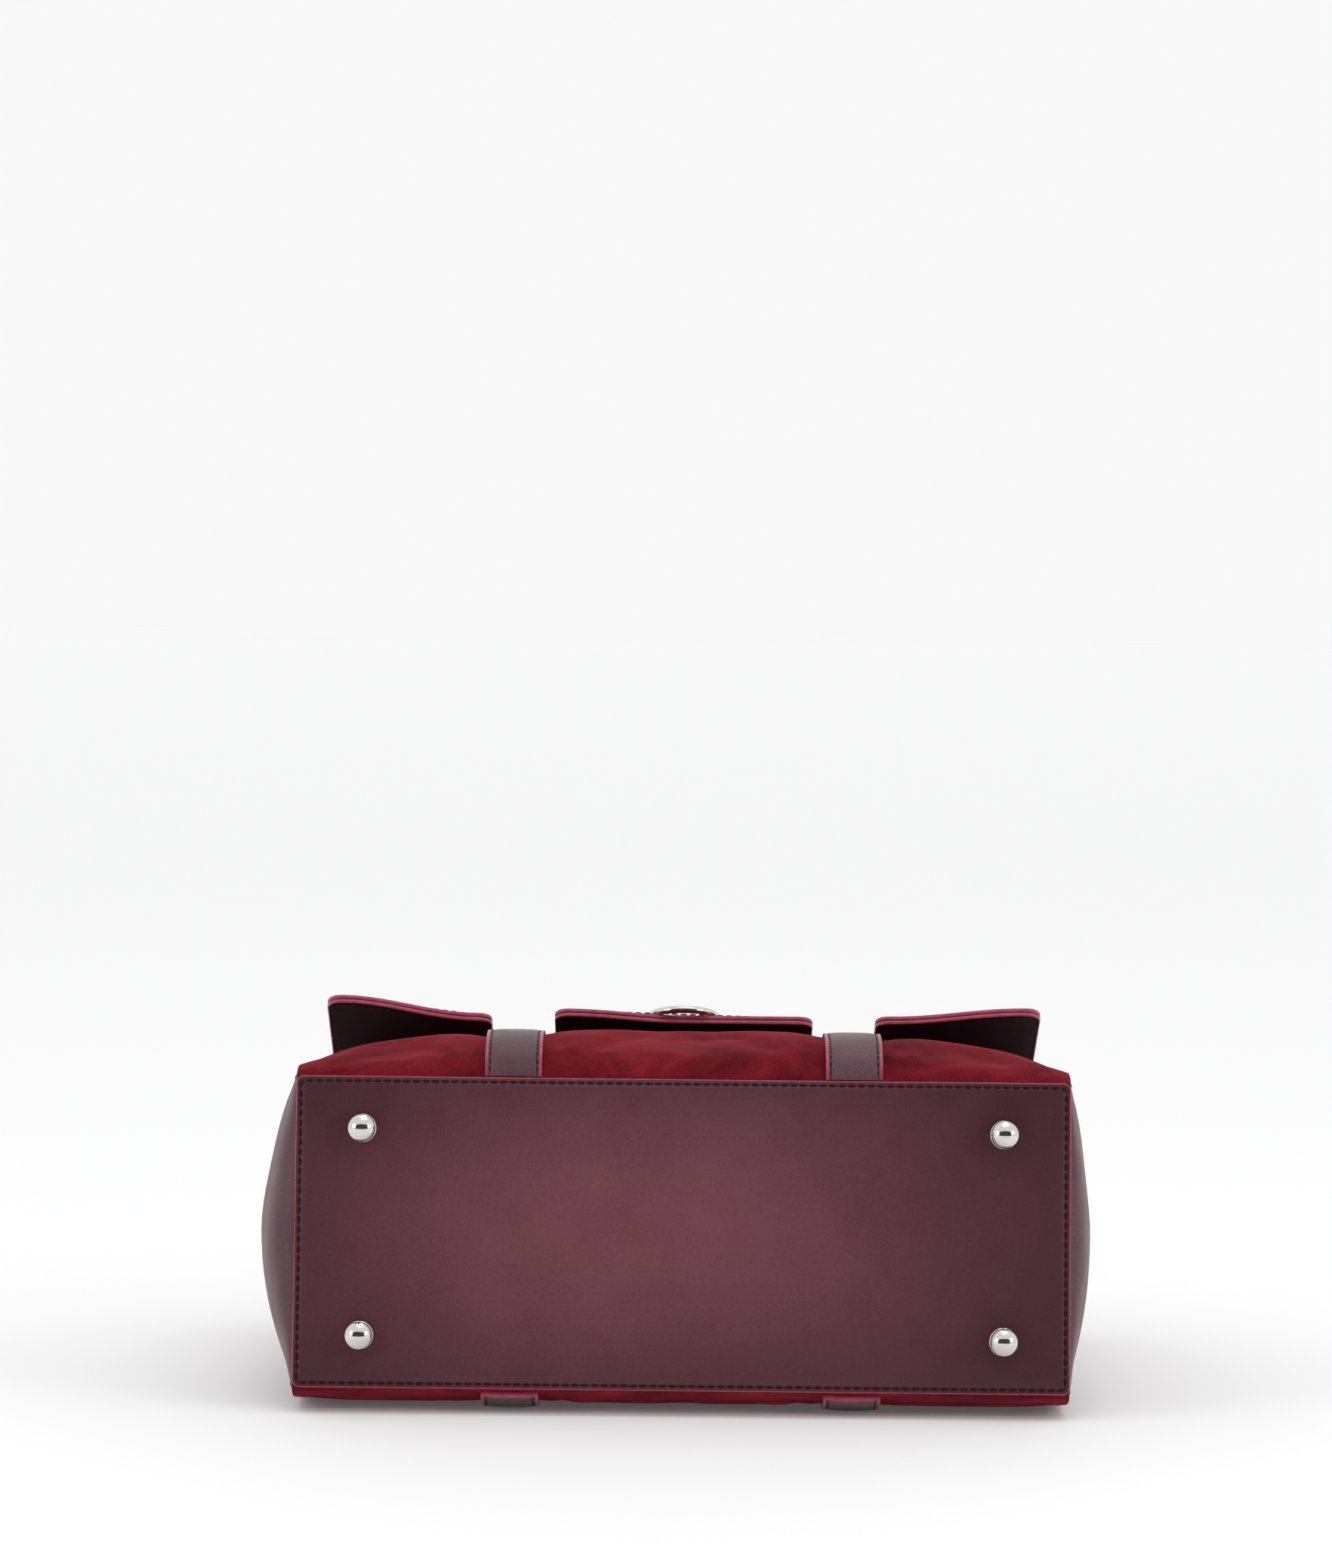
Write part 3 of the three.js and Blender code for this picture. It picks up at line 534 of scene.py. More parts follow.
# %% [markdown]
# ## Painted edges, thread and suede
# Cut edges are sealed with a few coats of thick raspberry paint, which dries smooth and a
# little glossy with slow waves in it. Thread is waxed polyester with a fine twist. Suede is
# leather's napped side: fibres lie one way or the other where a hand has brushed it, so it
# shows lighter and darker clouds, and it glows at grazing angles, which is what sheen does.
# %% Edge paint, thread and suede materials
def edge_paint(name, colour):
    finish, tree, shader, coords = open_material(name, colour, 0.38)
    waves = noise(tree, coords, 260, 3)
    tone = ramp(tree, waves, [(0.3, [0.72 * c for c in colour]), (0.7, [1.15 * c for c in colour])])
    tree.links.new(tone, shader.inputs["Base Color"])
    press(tree, shader, waves, 0.25, 0.2 * mm)
    shader.inputs["Coat Weight"].default_value = 0.2
    return finish


def thread_material(name, colour):
    finish, tree, shader, coords = open_material(name, colour, 0.55)
    fibres = noise(tree, coords, 3200, 2)
    tone = ramp(tree, fibres, [(0.3, [0.6 * c for c in colour]), (0.7, [1.3 * c for c in colour])])
    tree.links.new(tone, shader.inputs["Base Color"])
    shader.inputs["Specular IOR Level"].default_value = 0.12
    press(tree, shader, fibres, 0.5, 0.1 * mm)
    return finish


def suede_material(name, deep, mid, bright):
    finish, tree, shader, coords = open_material(name)
    brushed = new_node(tree, "ShaderNodeMapping", Scale=(0.55, 1.0, 1.0),
                       Rotation=(0, 0, math.radians(14)))
    tree.links.new(coords, brushed.inputs["Vector"])
    clouds = new_node(tree, "ShaderNodeTexNoise", Scale=34.0, Detail=8.0, Roughness=0.68,
                      Distortion=0.9)
    tree.links.new(brushed.outputs["Vector"], clouds.inputs["Vector"])
    nap = noise(tree, coords, 1500, 3, 0.7)
    mixed = arithmetic(tree, "ADD", arithmetic(tree, "MULTIPLY", clouds.outputs["Fac"], 0.72),
                       arithmetic(tree, "MULTIPLY", nap, 0.28))
    colour = ramp(tree, mixed, [(0.38, deep), (0.49, mid), (0.63, bright)])
    tree.links.new(colour, shader.inputs["Base Color"])
    fibres = noise(tree, coords, 2600, 3, 0.75)
    relief = arithmetic(tree, "ADD", arithmetic(tree, "MULTIPLY", fibres, 0.6),
                        arithmetic(tree, "MULTIPLY", clouds.outputs["Fac"], 0.8))
    press(tree, shader, relief, 0.45, 0.5 * mm)
    shader.inputs["Roughness"].default_value = 0.95
    shader.inputs["Specular IOR Level"].default_value = 0.15
    shader.inputs["Sheen Weight"].default_value = 0.3
    shader.inputs["Sheen Roughness"].default_value = 0.4
    shader.inputs["Sheen Tint"].default_value = (0.8, 0.07, 0.12, 1)
    return finish


raspberry_edge = edge_paint("raspberry edge paint", (0.37, 0.042, 0.090))
burgundy_thread = thread_material("burgundy thread", (0.040, 0.0035, 0.0085))
red_suede = suede_material("red suede", (0.052, 0.0015, 0.0038), (0.145, 0.0055, 0.0115),
                           (0.250, 0.014, 0.024))


# %% [markdown]
# ## Metal, lining, board
# The fittings are polished nickel plate: nearly a mirror, a little warm, with faint unevenness
# in its polish. The lining is a plain cotton weave, drawn by two crossed waves on the cloth's
# own coordinates. The board and washers inside are plain fibre board and zinc-plated steel.
# %% Metal, lining and board materials
def metal(name, colour, roughness, uneven):
    finish, tree, shader, coords = open_material(name, colour, roughness)
    shader.inputs["Metallic"].default_value = 1
    cloud = noise(tree, coords, 420, 3)
    gloss = stretch(tree, cloud, 0.3, 0.7, roughness, roughness + uneven)
    tree.links.new(gloss, shader.inputs["Roughness"])
    return finish


def woven_material(name, dark, light):
    finish, tree, shader, coords = open_material(name, light, 0.85)
    threads = []
    for direction in ("X", "Y"):
        wave = new_node(tree, "ShaderNodeTexWave", {"bands_direction": direction}, Scale=420.0,
                        Distortion=0.6, Detail=1.0)
        tree.links.new(coords, wave.inputs["Vector"])
        threads.append(wave.outputs["Fac"])
    weave = arithmetic(tree, "MULTIPLY", *threads)
    tree.links.new(ramp(tree, weave, [(0.1, dark), (0.7, light)]), shader.inputs["Base Color"])
    press(tree, shader, weave, 0.4, 0.2 * mm)
    return finish


nickel = metal("polished nickel", (0.68, 0.655, 0.625), 0.06, 0.05)
zinc_steel = metal("zinc-plated steel", (0.55, 0.56, 0.58), 0.3, 0.15)
lining_cloth = woven_material("lining cotton", (0.020, 0.009, 0.012), (0.050, 0.022, 0.028))
fibre_board = woven_material("fibre board", (0.13, 0.12, 0.11), (0.20, 0.18, 0.16))

# %% [markdown]
# ## Stitches
# A stitch is a short length of thread that rises out of one hole and sinks into the next. One
# is modelled from a sphere, drawn out and bowed, and then copied along each seam at the sewing
# machine's pitch. A seam is a line of points with the way out of the leather at each.
# %% Stitches
stitch_pitch = 4.0 * mm
thread_thickness = 0.75 * mm


def model_stitch():
    deselect()
    ops.mesh.primitive_uv_sphere_add(segments=8, ring_count=6, radius=0.5)
    stitch = bpy.context.object
    co = points_of(stitch)[:, [2, 0, 1]]
    ends = np.sign(co[:, 0]) * np.abs(2 * co[:, 0]) ** 0.7 / 2
    bowed = co[:, 2] * 0.9 - 1.3 * (np.abs(2 * co[:, 0]) ** 3) * 0.35
    points = np.stack([ends, co[:, 1], bowed], 1)
    faces = [tuple(p.vertices) for p in stitch.data.polygons]
    bpy.data.objects.remove(stitch)
    return points, faces


stitch_points, stitch_faces = model_stitch()


def sew(name, line, outward, body, pitch=stitch_pitch, closed=False, thickness=thread_thickness,
        blend=None):
    """Copies the stitch along a line in the row frame, on a body, or on no body if blend is given."""
    line, outward = np.asarray(line, float), np.asarray(outward, float)
    if closed:
        line, outward = np.vstack([line, line[:1]]), np.vstack([outward, outward[:1]])
    run = run_along(line)
    count = max(1, int(round(run[-1] / pitch)))
    middles = (np.arange(count) + 0.5) * run[-1] / count
    length = 0.80 * run[-1] / count
    at = lambda values, s: np.stack([np.interp(s, run, values[:, i]) for i in range(3)], 1)
    here = at(line, middles)
    along = at(line, middles + length / 2) - at(line, middles - length / 2)
    along /= np.linalg.norm(along, axis=1)[:, None]
    out = at(outward, middles)
    out -= (out * along).sum(1)[:, None] * along
    out /= np.linalg.norm(out, axis=1)[:, None]
    side = np.cross(out, along)
    p = stitch_points * np.array([length, thickness, thickness])
    points = (here[:, None] + p[None, :, :1] * along[:, None] + p[None, :, 1:2] * side[:, None]
              + p[None, :, 2:] * out[:, None]).reshape(-1, 3)
    faces = [tuple(v + k * len(p) for v in face) for k in range(count) for face in stitch_faces]
    mesh = bpy.data.meshes.new(name)
    mesh.from_pydata(points.tolist(), [], faces)
    seam = bpy.data.objects.new(name, mesh)
    scene.collection.objects.link(seam)
    mesh.polygons.foreach_set("use_smooth", [True] * len(faces))
    first = mesh.polygons[0]
    if first.normal.dot(first.center - Vector(here[0])) < 0:
        mesh.flip_normals()
    if blend:
        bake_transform(seam)
    return finish_piece(seam, None if blend else body, [burgundy_thread])


def seam_on(surface, columns, rows, lift=0.0):
    """Points and ways out along a surface in the bag's axes, at matching column and row values."""
    a, b = np.broadcast_arrays(np.asarray(columns, float), np.asarray(rows, float))
    step = 0.2 * mm
    place = lambda a, b: np.stack(np.broadcast_arrays(*surface(a, b)), 1)
    here = place(a, b)
    out = np.cross(place(a + step, b) - place(a - step, b), place(a, b + step) - place(a, b - step))
    out /= np.linalg.norm(out, axis=1)[:, None]
    turn = np.array(bag_turn)
    return (here + out * lift) @ turn.T + np.array(bag_origin), out @ turn.T


# %% [markdown]
# ## Base panel
# The base is one thick leather panel over a stiff board, sewn all round two millimetres from
# its edge. The stitches pull the leather down into a groove, and its middle stays proud. The
# grid's lines crowd together near the edges, where that relief is, and its corner squares are
# drawn round.
# %% Base panel
def edge_relief(distance, depth=0.32 * mm, proud=0.5 * mm):
    """Height of sewn leather at a distance from its edge: a groove, then a soft rise."""
    groove = -depth * np.exp(-(((distance - 2 * mm) / (0.6 * mm)) ** 2))
    return groove + proud * (1 - np.exp(-np.maximum(0, distance - 2 * mm) / (3 * mm)))


def round_corners(a, b, half_a, half_b, radius):
    """Draws the corner squares of a rectangle to quarter circles."""
    in_a = np.maximum(0, np.abs(a) - (half_a - radius))
    in_b = np.maximum(0, np.abs(b) - (half_b - radius))
    longest, reach = np.maximum(in_a, in_b), np.hypot(in_a, in_b)
    scale = np.where(reach > 0, longest / np.maximum(reach, 1e-9), 1)
    new_a = np.where(in_a > 0, np.sign(a) * (half_a - radius + in_a * scale), a)
    new_b = np.where(in_b > 0, np.sign(b) * (half_b - radius + in_b * scale), b)
    return new_a, new_b


def rectangle_distance(a, b, half_a, half_b):
    return np.minimum(half_a - np.abs(a), half_b - np.abs(b))


half_depth = base_depth / 2
corner = 3 * mm


def base_face(x, z):
    distance = rectangle_distance(x, z, half_width, half_depth)
    new_x, new_z = round_corners(x, z, half_width, half_depth, corner)
    slack = 0.35 * mm * np.sin(x / (41 * mm) + 1.1) * np.cos(z / (33 * mm))
    slack *= smooth(distance / (12 * mm))
    return new_x, -base_leather + 0.3 * mm - edge_relief(distance) + slack, new_z


base = lay_grid("base_leather", edge_fine(half_width), edge_fine(half_depth), base_face,
                lambda x, z: rectangle_distance(x, z, half_width, half_depth) / mm)
face_out(base, (0, -1, 0))
thicken(base, base_leather - 0.2 * mm, round_to=0.5 * mm, painted=True)
tip(base)
finish_piece(base, "bag_body", [plum_base, raspberry_edge], ["base_panel"])

stitch_in = 2 * mm
straight_x = half_width - 4.5 * mm
straight_z = half_depth - 4.5 * mm
turn_r = 4.5 * mm - stitch_in
quarter = spread(0, math.pi / 2, 4)
corner_x = straight_x + turn_r * np.cos(quarter)
corner_z = straight_z + turn_r * np.sin(quarter)
loop_x = np.concatenate([corner_x, -corner_x[::-1], -corner_x, corner_x[::-1]])
loop_z = np.concatenate([corner_z, corner_z[::-1], -corner_z, -corner_z[::-1]])
base_line = [in_row(-base_leather + 0.24 * mm + 0.05 * mm, z, x) for x, z in zip(loop_x, loop_z)]
sew("base_stitches", base_line, [-up_the_bag] * len(base_line), "bag_body", closed=True)

# %% [markdown]
# ## Dome feet
# Each foot is a polished cap on a short post, with a shank through the base. Its profile
# is drawn from the tip to the shank and spun round its axis. A faceted dome would break up
# its highlights, so it is spun in many steps. One foot is made, and the rest are copies.
# %% Dome feet
def spin_round(name, profile, steps=48):
    """Spins a line of (radius, height) pairs that starts and ends on the Z axis."""
    deselect()
    ops.mesh.primitive_circle_add(vertices=len(profile), radius=1)
    piece = bpy.context.object
    piece.name = name
    move_points(piece, [(r, 0, h) for r, h in profile])
    closing = {0, len(profile) - 1}
    pick(piece, "EDGE", lambda edge: set(edge.vertices) == closing)
    ops.mesh.delete(type="EDGE")
    ops.mesh.select_all(action="SELECT")
    ops.mesh.spin(steps=steps, angle=2 * math.pi, center=(0, 0, 0), axis=(0, 0, 1))
    ops.mesh.select_all(action="SELECT")
    ops.mesh.remove_doubles(threshold=0.01 * mm)
    ops.mesh.normals_make_consistent(inside=False)
    ops.object.mode_set(mode="OBJECT")
    return piece


foot_top = base_leather + gap
foot_tip = base_leather + gap + 9 * mm
dome_r, flange_r = 5.75 * mm, 5.85 * mm
shank_r, shank_end = 1.5 * mm, -4 * mm
cap_curve = 6.7 * mm
cap_turns = spread(0, math.radians(53), 12)
foot_profile = [(cap_curve * math.sin(t), foot_tip - cap_curve * (1 - math.cos(t)))
                for t in cap_turns]
cap_r, cap_low = foot_profile[-1]
for t in (0.25, 0.5, 0.75, 1.0):
    foot_profile.append((cap_r + (dome_r - cap_r) * math.sin(t * math.pi / 2),
                         cap_low - 1.0 * mm * (1 - math.cos(t * math.pi / 2)) - 0.3 * mm * t))
foot_profile += [(dome_r - 0.05 * mm, foot_top + 1.6 * mm), (dome_r - 0.5 * mm, foot_top + 1.0 * mm),
                 (flange_r - 0.3 * mm, foot_top + 0.75 * mm), (flange_r, foot_top + 0.45 * mm),
                 (flange_r - 0.1 * mm, foot_top + 0.12 * mm), (flange_r - 0.5 * mm, foot_top),
                 (shank_r, foot_top), (shank_r, shank_end), (0, shank_end)]
foot_profile[0] = (0, foot_tip)
first_foot = spin_round("dome_foot_1", foot_profile)
first_foot.data.transform(Matrix.Rotation(math.pi / 2, 4, "X"))
for number in range(1, 5):
    if number > 1:
        dome = first_foot.copy()
        dome.data = first_foot_mesh.copy()
        scene.collection.objects.link(dome)
        dome.name = f"dome_foot_{number}"
    else:
        dome = first_foot
        first_foot_mesh = first_foot.data.copy()
    low, high = bag_box(f"foot_{number}")
    dome.data.transform(Matrix.Translation(((low.x + high.x) / 2, 0, (low.z + high.z) / 2)))
    tip(dome)
    finish_piece(dome, "bag_body", [nickel], [f"foot_{number}"])

# %% [markdown]
# ## Suede panels
# Front and back are soft suede skins, sewn along their sides, their base seam and under the
# straps, and free to swell between. Each is a grid on the bag's shape with its sewn lines
# pinned, and Blender's Cloth blows it out with a little pressure from inside while it is cut a
# little larger than its frame. That gives the slow pillows and small creases of a real
# panel, which a formula doesn't. The move is capped so the panel stays off the flap.
# %% Suede panels
def soften(piece, pins, pressure, slack, cap, frames=20):
    """Simulates a sheet as cloth held at its pins, caps how far it moved, and keeps the result."""
    start = points_of(piece).copy()
    group = piece.vertex_groups.new(name="sewn")
    for weight in sorted(set(np.round(pins, 2))):
        if weight > 0:
            chosen = np.nonzero(np.round(pins, 2) == weight)[0].tolist()
            group.add(chosen, float(weight), "REPLACE")
    cloth = piece.modifiers.new("cloth", "CLOTH")
    settings = cloth.settings
    settings.quality = 6
    settings.mass = 0.25
    settings.tension_stiffness = settings.compression_stiffness = 12
    settings.bending_stiffness = 1.2
    settings.use_pressure = True
    settings.uniform_pressure_force = pressure
    settings.shrink_min = -slack
    settings.vertex_group_mass = "sewn"
    settings.effector_weights.gravity = 0
    cloth.collision_settings.use_collision = False
    cloth.point_cache.frame_start, cloth.point_cache.frame_end = 1, frames
    for frame_number in range(1, frames + 1):
        scene.frame_set(frame_number)
    depsgraph = bpy.context.evaluated_depsgraph_get()
    shaped = piece.evaluated_get(depsgraph)
    moved = np.array([v.co for v in shaped.data.vertices])
    piece.modifiers.clear()
    scene.frame_set(1)
    shift = moved - start
    length = np.linalg.norm(shift, axis=1)[:, None]
    shift *= np.minimum(1, cap / np.maximum(length, 1e-9))
    move_points(piece, start + shift)
    print(f"{piece.name} moved by up to {round(float(length.max()) / mm, 1)} mm")


def sewn_lines(x, y):
    """1 on the panel's seams and under its straps, fading to 0 in its free parts."""
    side = np.minimum(half_width - np.abs(x), np.minimum(y, height - y) * 0.8)
    strap = np.abs(np.abs(x) - strap_x) - strap_width / 2 + 2 * mm
    return np.clip(1 - np.minimum(side, np.maximum(strap, 0)) / (5 * mm), 0, 1)


def front_skin(x, y):
    return x, y, front_depth(x, y)


def back_skin(x, y):
    return x, y, -back_depth(x, y)


panel_columns = spread(-half_width, half_width, 88)
tucked = -0.35 * mm


def skin_rows(count):
    """Rows from a tucked foot to the mouth, closer together towards the base."""
    return np.concatenate([[tucked, 0.05 * mm, 0.6 * mm], height * spread(0, 1, count)[1:] ** 1.25])


for name, skin, node, out_way, pressure, cap in (
        ("front_suede", front_skin, "front_panel", (0, 0, 1), 2.2, 2.6 * mm),
        ("back_suede", back_skin, "back_panel", (0, 0, -1), 0.8, 1.0 * mm)):
    panel = lay_grid(name, panel_columns, skin_rows(56), skin)
    face_out(panel, out_way)
    flat = points_of(panel)
    pins = sewn_lines(flat[:, 0], flat[:, 1])
    soften(panel, pins, pressure, 0.012, cap)
    smoothing = panel.modifiers.new("finer", "SUBSURF")
    smoothing.levels = smoothing.render_levels = 1
    apply_modifiers(panel)
    thicken(panel, suede, round_to=0.2 * mm, segments=2)
    tip(panel)
    finish_piece(panel, "bag_body", [red_suede], [node])

# %% [markdown]
# ## Gussets
# The two sides are plum leather, belly out between the panels, and sag a little more on one
# side than on the other. Slow noise moves their points by a fraction of a millimetre, so
# their reflections waver as soft leather's do.
# %% Gussets
bulges = {"left": 17.5 * mm, "right": 12 * mm}
gusset_margin = suede + 2 * gap


def wavering(x, y, z, size, amount):
    """Slow hills and hollows at each point, from -amount to amount."""
    points = zip(*(np.broadcast_arrays(x, y, z)))
    return np.array([hills.noise(Vector(p) / size) * amount for p in points])


for name, side in (("left", -1), ("right", 1)):
    def gusset_face(share, y, side=side, name=name):
        z = share * (seam_depth(y) - gusset_margin)
        reach = gusset_reach(y, z, bulges[name])
        free = smooth((1 - np.abs(share)) * 4) * smooth(y / (20 * mm))
        free = free * smooth((height - y) / (20 * mm))
        reach = reach + free * wavering(reach, y, z, 45 * mm, 2.2 * mm)
        return side * reach, y, z

    def gusset_edge(share, y):
        return (1 - np.abs(share)) * (seam_depth(y) - gusset_margin) / mm

    shares = np.concatenate([[-1, -0.985, -0.965, -0.94], spread(-0.9, 0.9, 20),
                             [0.94, 0.965, 0.985, 1]])
    gusset = lay_grid(f"gusset_{name}_leather", shares, skin_rows(44), gusset_face, gusset_edge)
    face_out(gusset, (side, 0, 0))
    thicken(gusset, 2.0 * mm, round_to=0.5 * mm, segments=2)
    tip(gusset)
    finish_piece(gusset, "bag_body", [plum_leather], [f"gusset_{name}"])
    for end in (-1, 1):
        heights = spread(4 * mm, height - 3 * mm, 60)
        in_from_edge = end * (1 - 2 * mm / (seam_depth(heights) - gusset_margin))
        line, out = seam_on(gusset_face, in_from_edge, heights)
        out *= side * np.sign(out[:, :1])
        place = "front" if end > 0 else "back"
        sew(f"gusset_{name}_{place}_stitches", line, out, "bag_body")

# %% [markdown]
# ## Straps
# Two straps run up the front and two up the back, and go on past the mouth as the legs of the
# handles. Each is leather folded over a thin filler: a little fuller along its middle, pressed
# down along two rows of stitches, with painted edges that lap over onto its faces.
# %% Strap routes
hinge_room = 2 * mm
handle_leg = 40 * mm
leg_shoulder = 0.45 * handle_leg
grip_radius = 6 * mm
front_pivot = joint_place("front_handle_swing")
back_pivot = joint_place("back_handle_swing")
front_lean = math.radians(6)
front_way = np.array([math.cos(front_lean), -math.sin(front_lean)])
front_out = np.array([math.sin(front_lean), math.cos(front_lean)])
back_lean = math.atan(plane_slope)
back_way = np.array([math.cos(back_lean), math.sin(back_lean)])
back_out = np.array([math.sin(back_lean), -math.cos(back_lean)])


def slope_way(depth, y):
    """The unit way along a skin's height, as (y, z)."""
    step = 0.5 * mm
    dz = depth(y + step) - depth(y - step)
    length = np.hypot(2 * step, dz)
    return 2 * step / length, dz / length


def front_route():
    """The middle of a front strap's outer face as (y, z) pairs, from the base to the grip."""
    foot = height * spread(0, 1, 40) ** 1.25
    foot = foot[foot < height - 2 * mm]
    depth = lambda y: front_depth(strap_x, y)
    up_y, up_z = slope_way(depth, foot)
    lower = np.stack([foot - up_z * strap_lift, depth(foot) + up_y * strap_lift], 1)
    lower[0] = (-0.9 * mm, half_depth + 0.5 * mm)
    pivot = np.array([front_pivot.y, front_pivot.z])
    along = spread(hinge_room, handle_leg, 12)[:, None]
    upper = pivot + along * front_way + front_out * strap_leather / 2
    bend = smooth_bend(lower[-1], lower[-1] - lower[-2], upper[0], front_way)
    return np.vstack([lower, bend, upper])


def smooth_bend(start, start_way, end, end_way, steps=6):
    """Points on a Hermite curve between two ends, without the ends."""
    reach = np.linalg.norm(end - start)
    a = start_way / np.linalg.norm(start_way) * reach
    b = end_way / np.linalg.norm(end_way) * reach
    t = spread(0, 1, steps)[1:-1, None]
    return ((2 * t**3 - 3 * t**2 + 1) * start + (t**3 - 2 * t**2 + t) * a
            + (3 * t**2 - 2 * t**3) * end + (t**3 - t**2) * b)


def back_route():
    foot = height * spread(0, 1, 40) ** 1.25
    foot[0] = gap
    foot = foot[foot < height]
    lower = np.stack([foot, -back_strap_depth(foot)], 1)
    pivot = np.array([back_pivot.y, back_pivot.z])
    along = spread(-hinge_room, handle_leg, 14)[:, None]
    upper = pivot + along * back_way + back_out * strap_leather / 2
    return np.vstack([lower, upper])


# %% Straps
strap_across = np.array([0, 1.1, 1.5, 2.0, 2.5, 3.1, 4.2, 5.8, 8, 11.75]) * mm
strap_lines = np.concatenate([-strap_width / 2 + strap_across,
                              (strap_width / 2 - strap_across)[-2::-1]])


def make_strap(name, centre_x, route, out_sign, pivot, grip_body, node):
    run = run_along(route)
    way = np.gradient(route, run, axis=0)
    way /= np.linalg.norm(way, axis=1)[:, None]
    out_way = out_sign * np.stack([-way[:, 1], way[:, 0]], 1)
    leg_start = run[-1] - handle_leg
    tip_half = 0.7 * grip_radius

    def half_at(s):
        narrow = smooth((s - leg_start - leg_shoulder) / (handle_leg - leg_shoulder))
        return strap_width / 2 + (tip_half - strap_width / 2) * narrow

    def face(x, s, lift=0.0):
        distance = strap_width / 2 - np.abs(x)
        proud = edge_relief(distance, 0.22 * mm, 0.45 * mm) - 0.30 * mm + lift
        rim = 1.1 * mm
        inner = rim + (distance - rim) * (half_at(s) - rim) / (strap_width / 2 - rim)
        wide = np.sign(x) * (half_at(s) - np.where(distance < rim, distance, inner))
        at = lambda values: np.interp(s, run, values)
        y = at(route[:, 0]) + proud * at(out_way[:, 0])
        z = at(route[:, 1]) + proud * at(out_way[:, 1])
        return centre_x + wide, y, z

    strap = lay_grid(name, strap_lines, run, face,
                     lambda x, s: (strap_width / 2 - np.abs(x)) / mm)
    from_rim = strap.data.attributes["from_edge"].data
    for piece_face in strap.data.polygons:
        if max(from_rim[v].value for v in piece_face.vertices) < 1.2:
            piece_face.material_index = 1
    face_out(strap, (0, 0, out_sign))
    thicken(strap, strap_leather - 0.15 * mm, round_to=0.6 * mm, painted=True)
    tip(strap)
    hinge = in_row(pivot.y, pivot.z)
    before = hinge - up_the_bag * 4.5 * mm
    after = hinge + up_the_bag * 4.5 * mm
    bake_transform(strap)
    finish_piece(strap, None, [plum_strap, raspberry_edge], [node])
    for edge in (-1, 1):
        s_line = spread(1.5 * mm, run[-1] - 12 * mm, 140)
        line, out = seam_on(face, edge * (strap_width / 2 - 2 * mm), s_line, lift=-0.02 * mm)
        sign = 1 if out[0] @ np.array(out_of_front) * out_sign > 0 else -1
        side_name = "left" if edge < 0 else "right"
        sew(f"{name}_{side_name}_stitches", line, sign * out, None, pitch=3.4 * mm,
            blend=("bag_body", grip_body, before, after))


for name, side in (("left", -1), ("right", 1)):
    make_strap(f"front_strap_{name}_leather", side * strap_x, front_route(), 1, front_pivot,
               "front_grip", f"front_strap_{name}")
    make_strap(f"back_strap_{name}_leather", side * strap_x, back_route(), -1, back_pivot,
               "back_grip", f"back_strap_{name}")

# %% [markdown]
# ## Rolled grips
# A handle's grip is leather rolled round a cord and closed along the inside of its arch by a
# seam, whose trimmed and painted edges stand out as a low fin. The grip is a tube on the
# handle's flat-topped arch, and thins at both ends where it is drawn down onto the strap.
# %% Grips
handle_drop = 125 * mm
grip_half_span = strap_x - 1.5 * mm
grip_sink = grip_radius - strap_leather / 2 + 0.2 * mm
grip_start = math.asin(((handle_leg - 12 * mm) / handle_drop) ** 2)


def merge_and_close(piece):
    """Merges a grid that meets itself, and makes its faces look outwards."""
    select_only(piece)
    ops.object.mode_set(mode="EDIT")
    ops.mesh.select_all(action="SELECT")
    ops.mesh.remove_doubles(threshold=0.01 * mm)
    ops.mesh.normals_make_consistent(inside=False)
    ops.object.mode_set(mode="OBJECT")


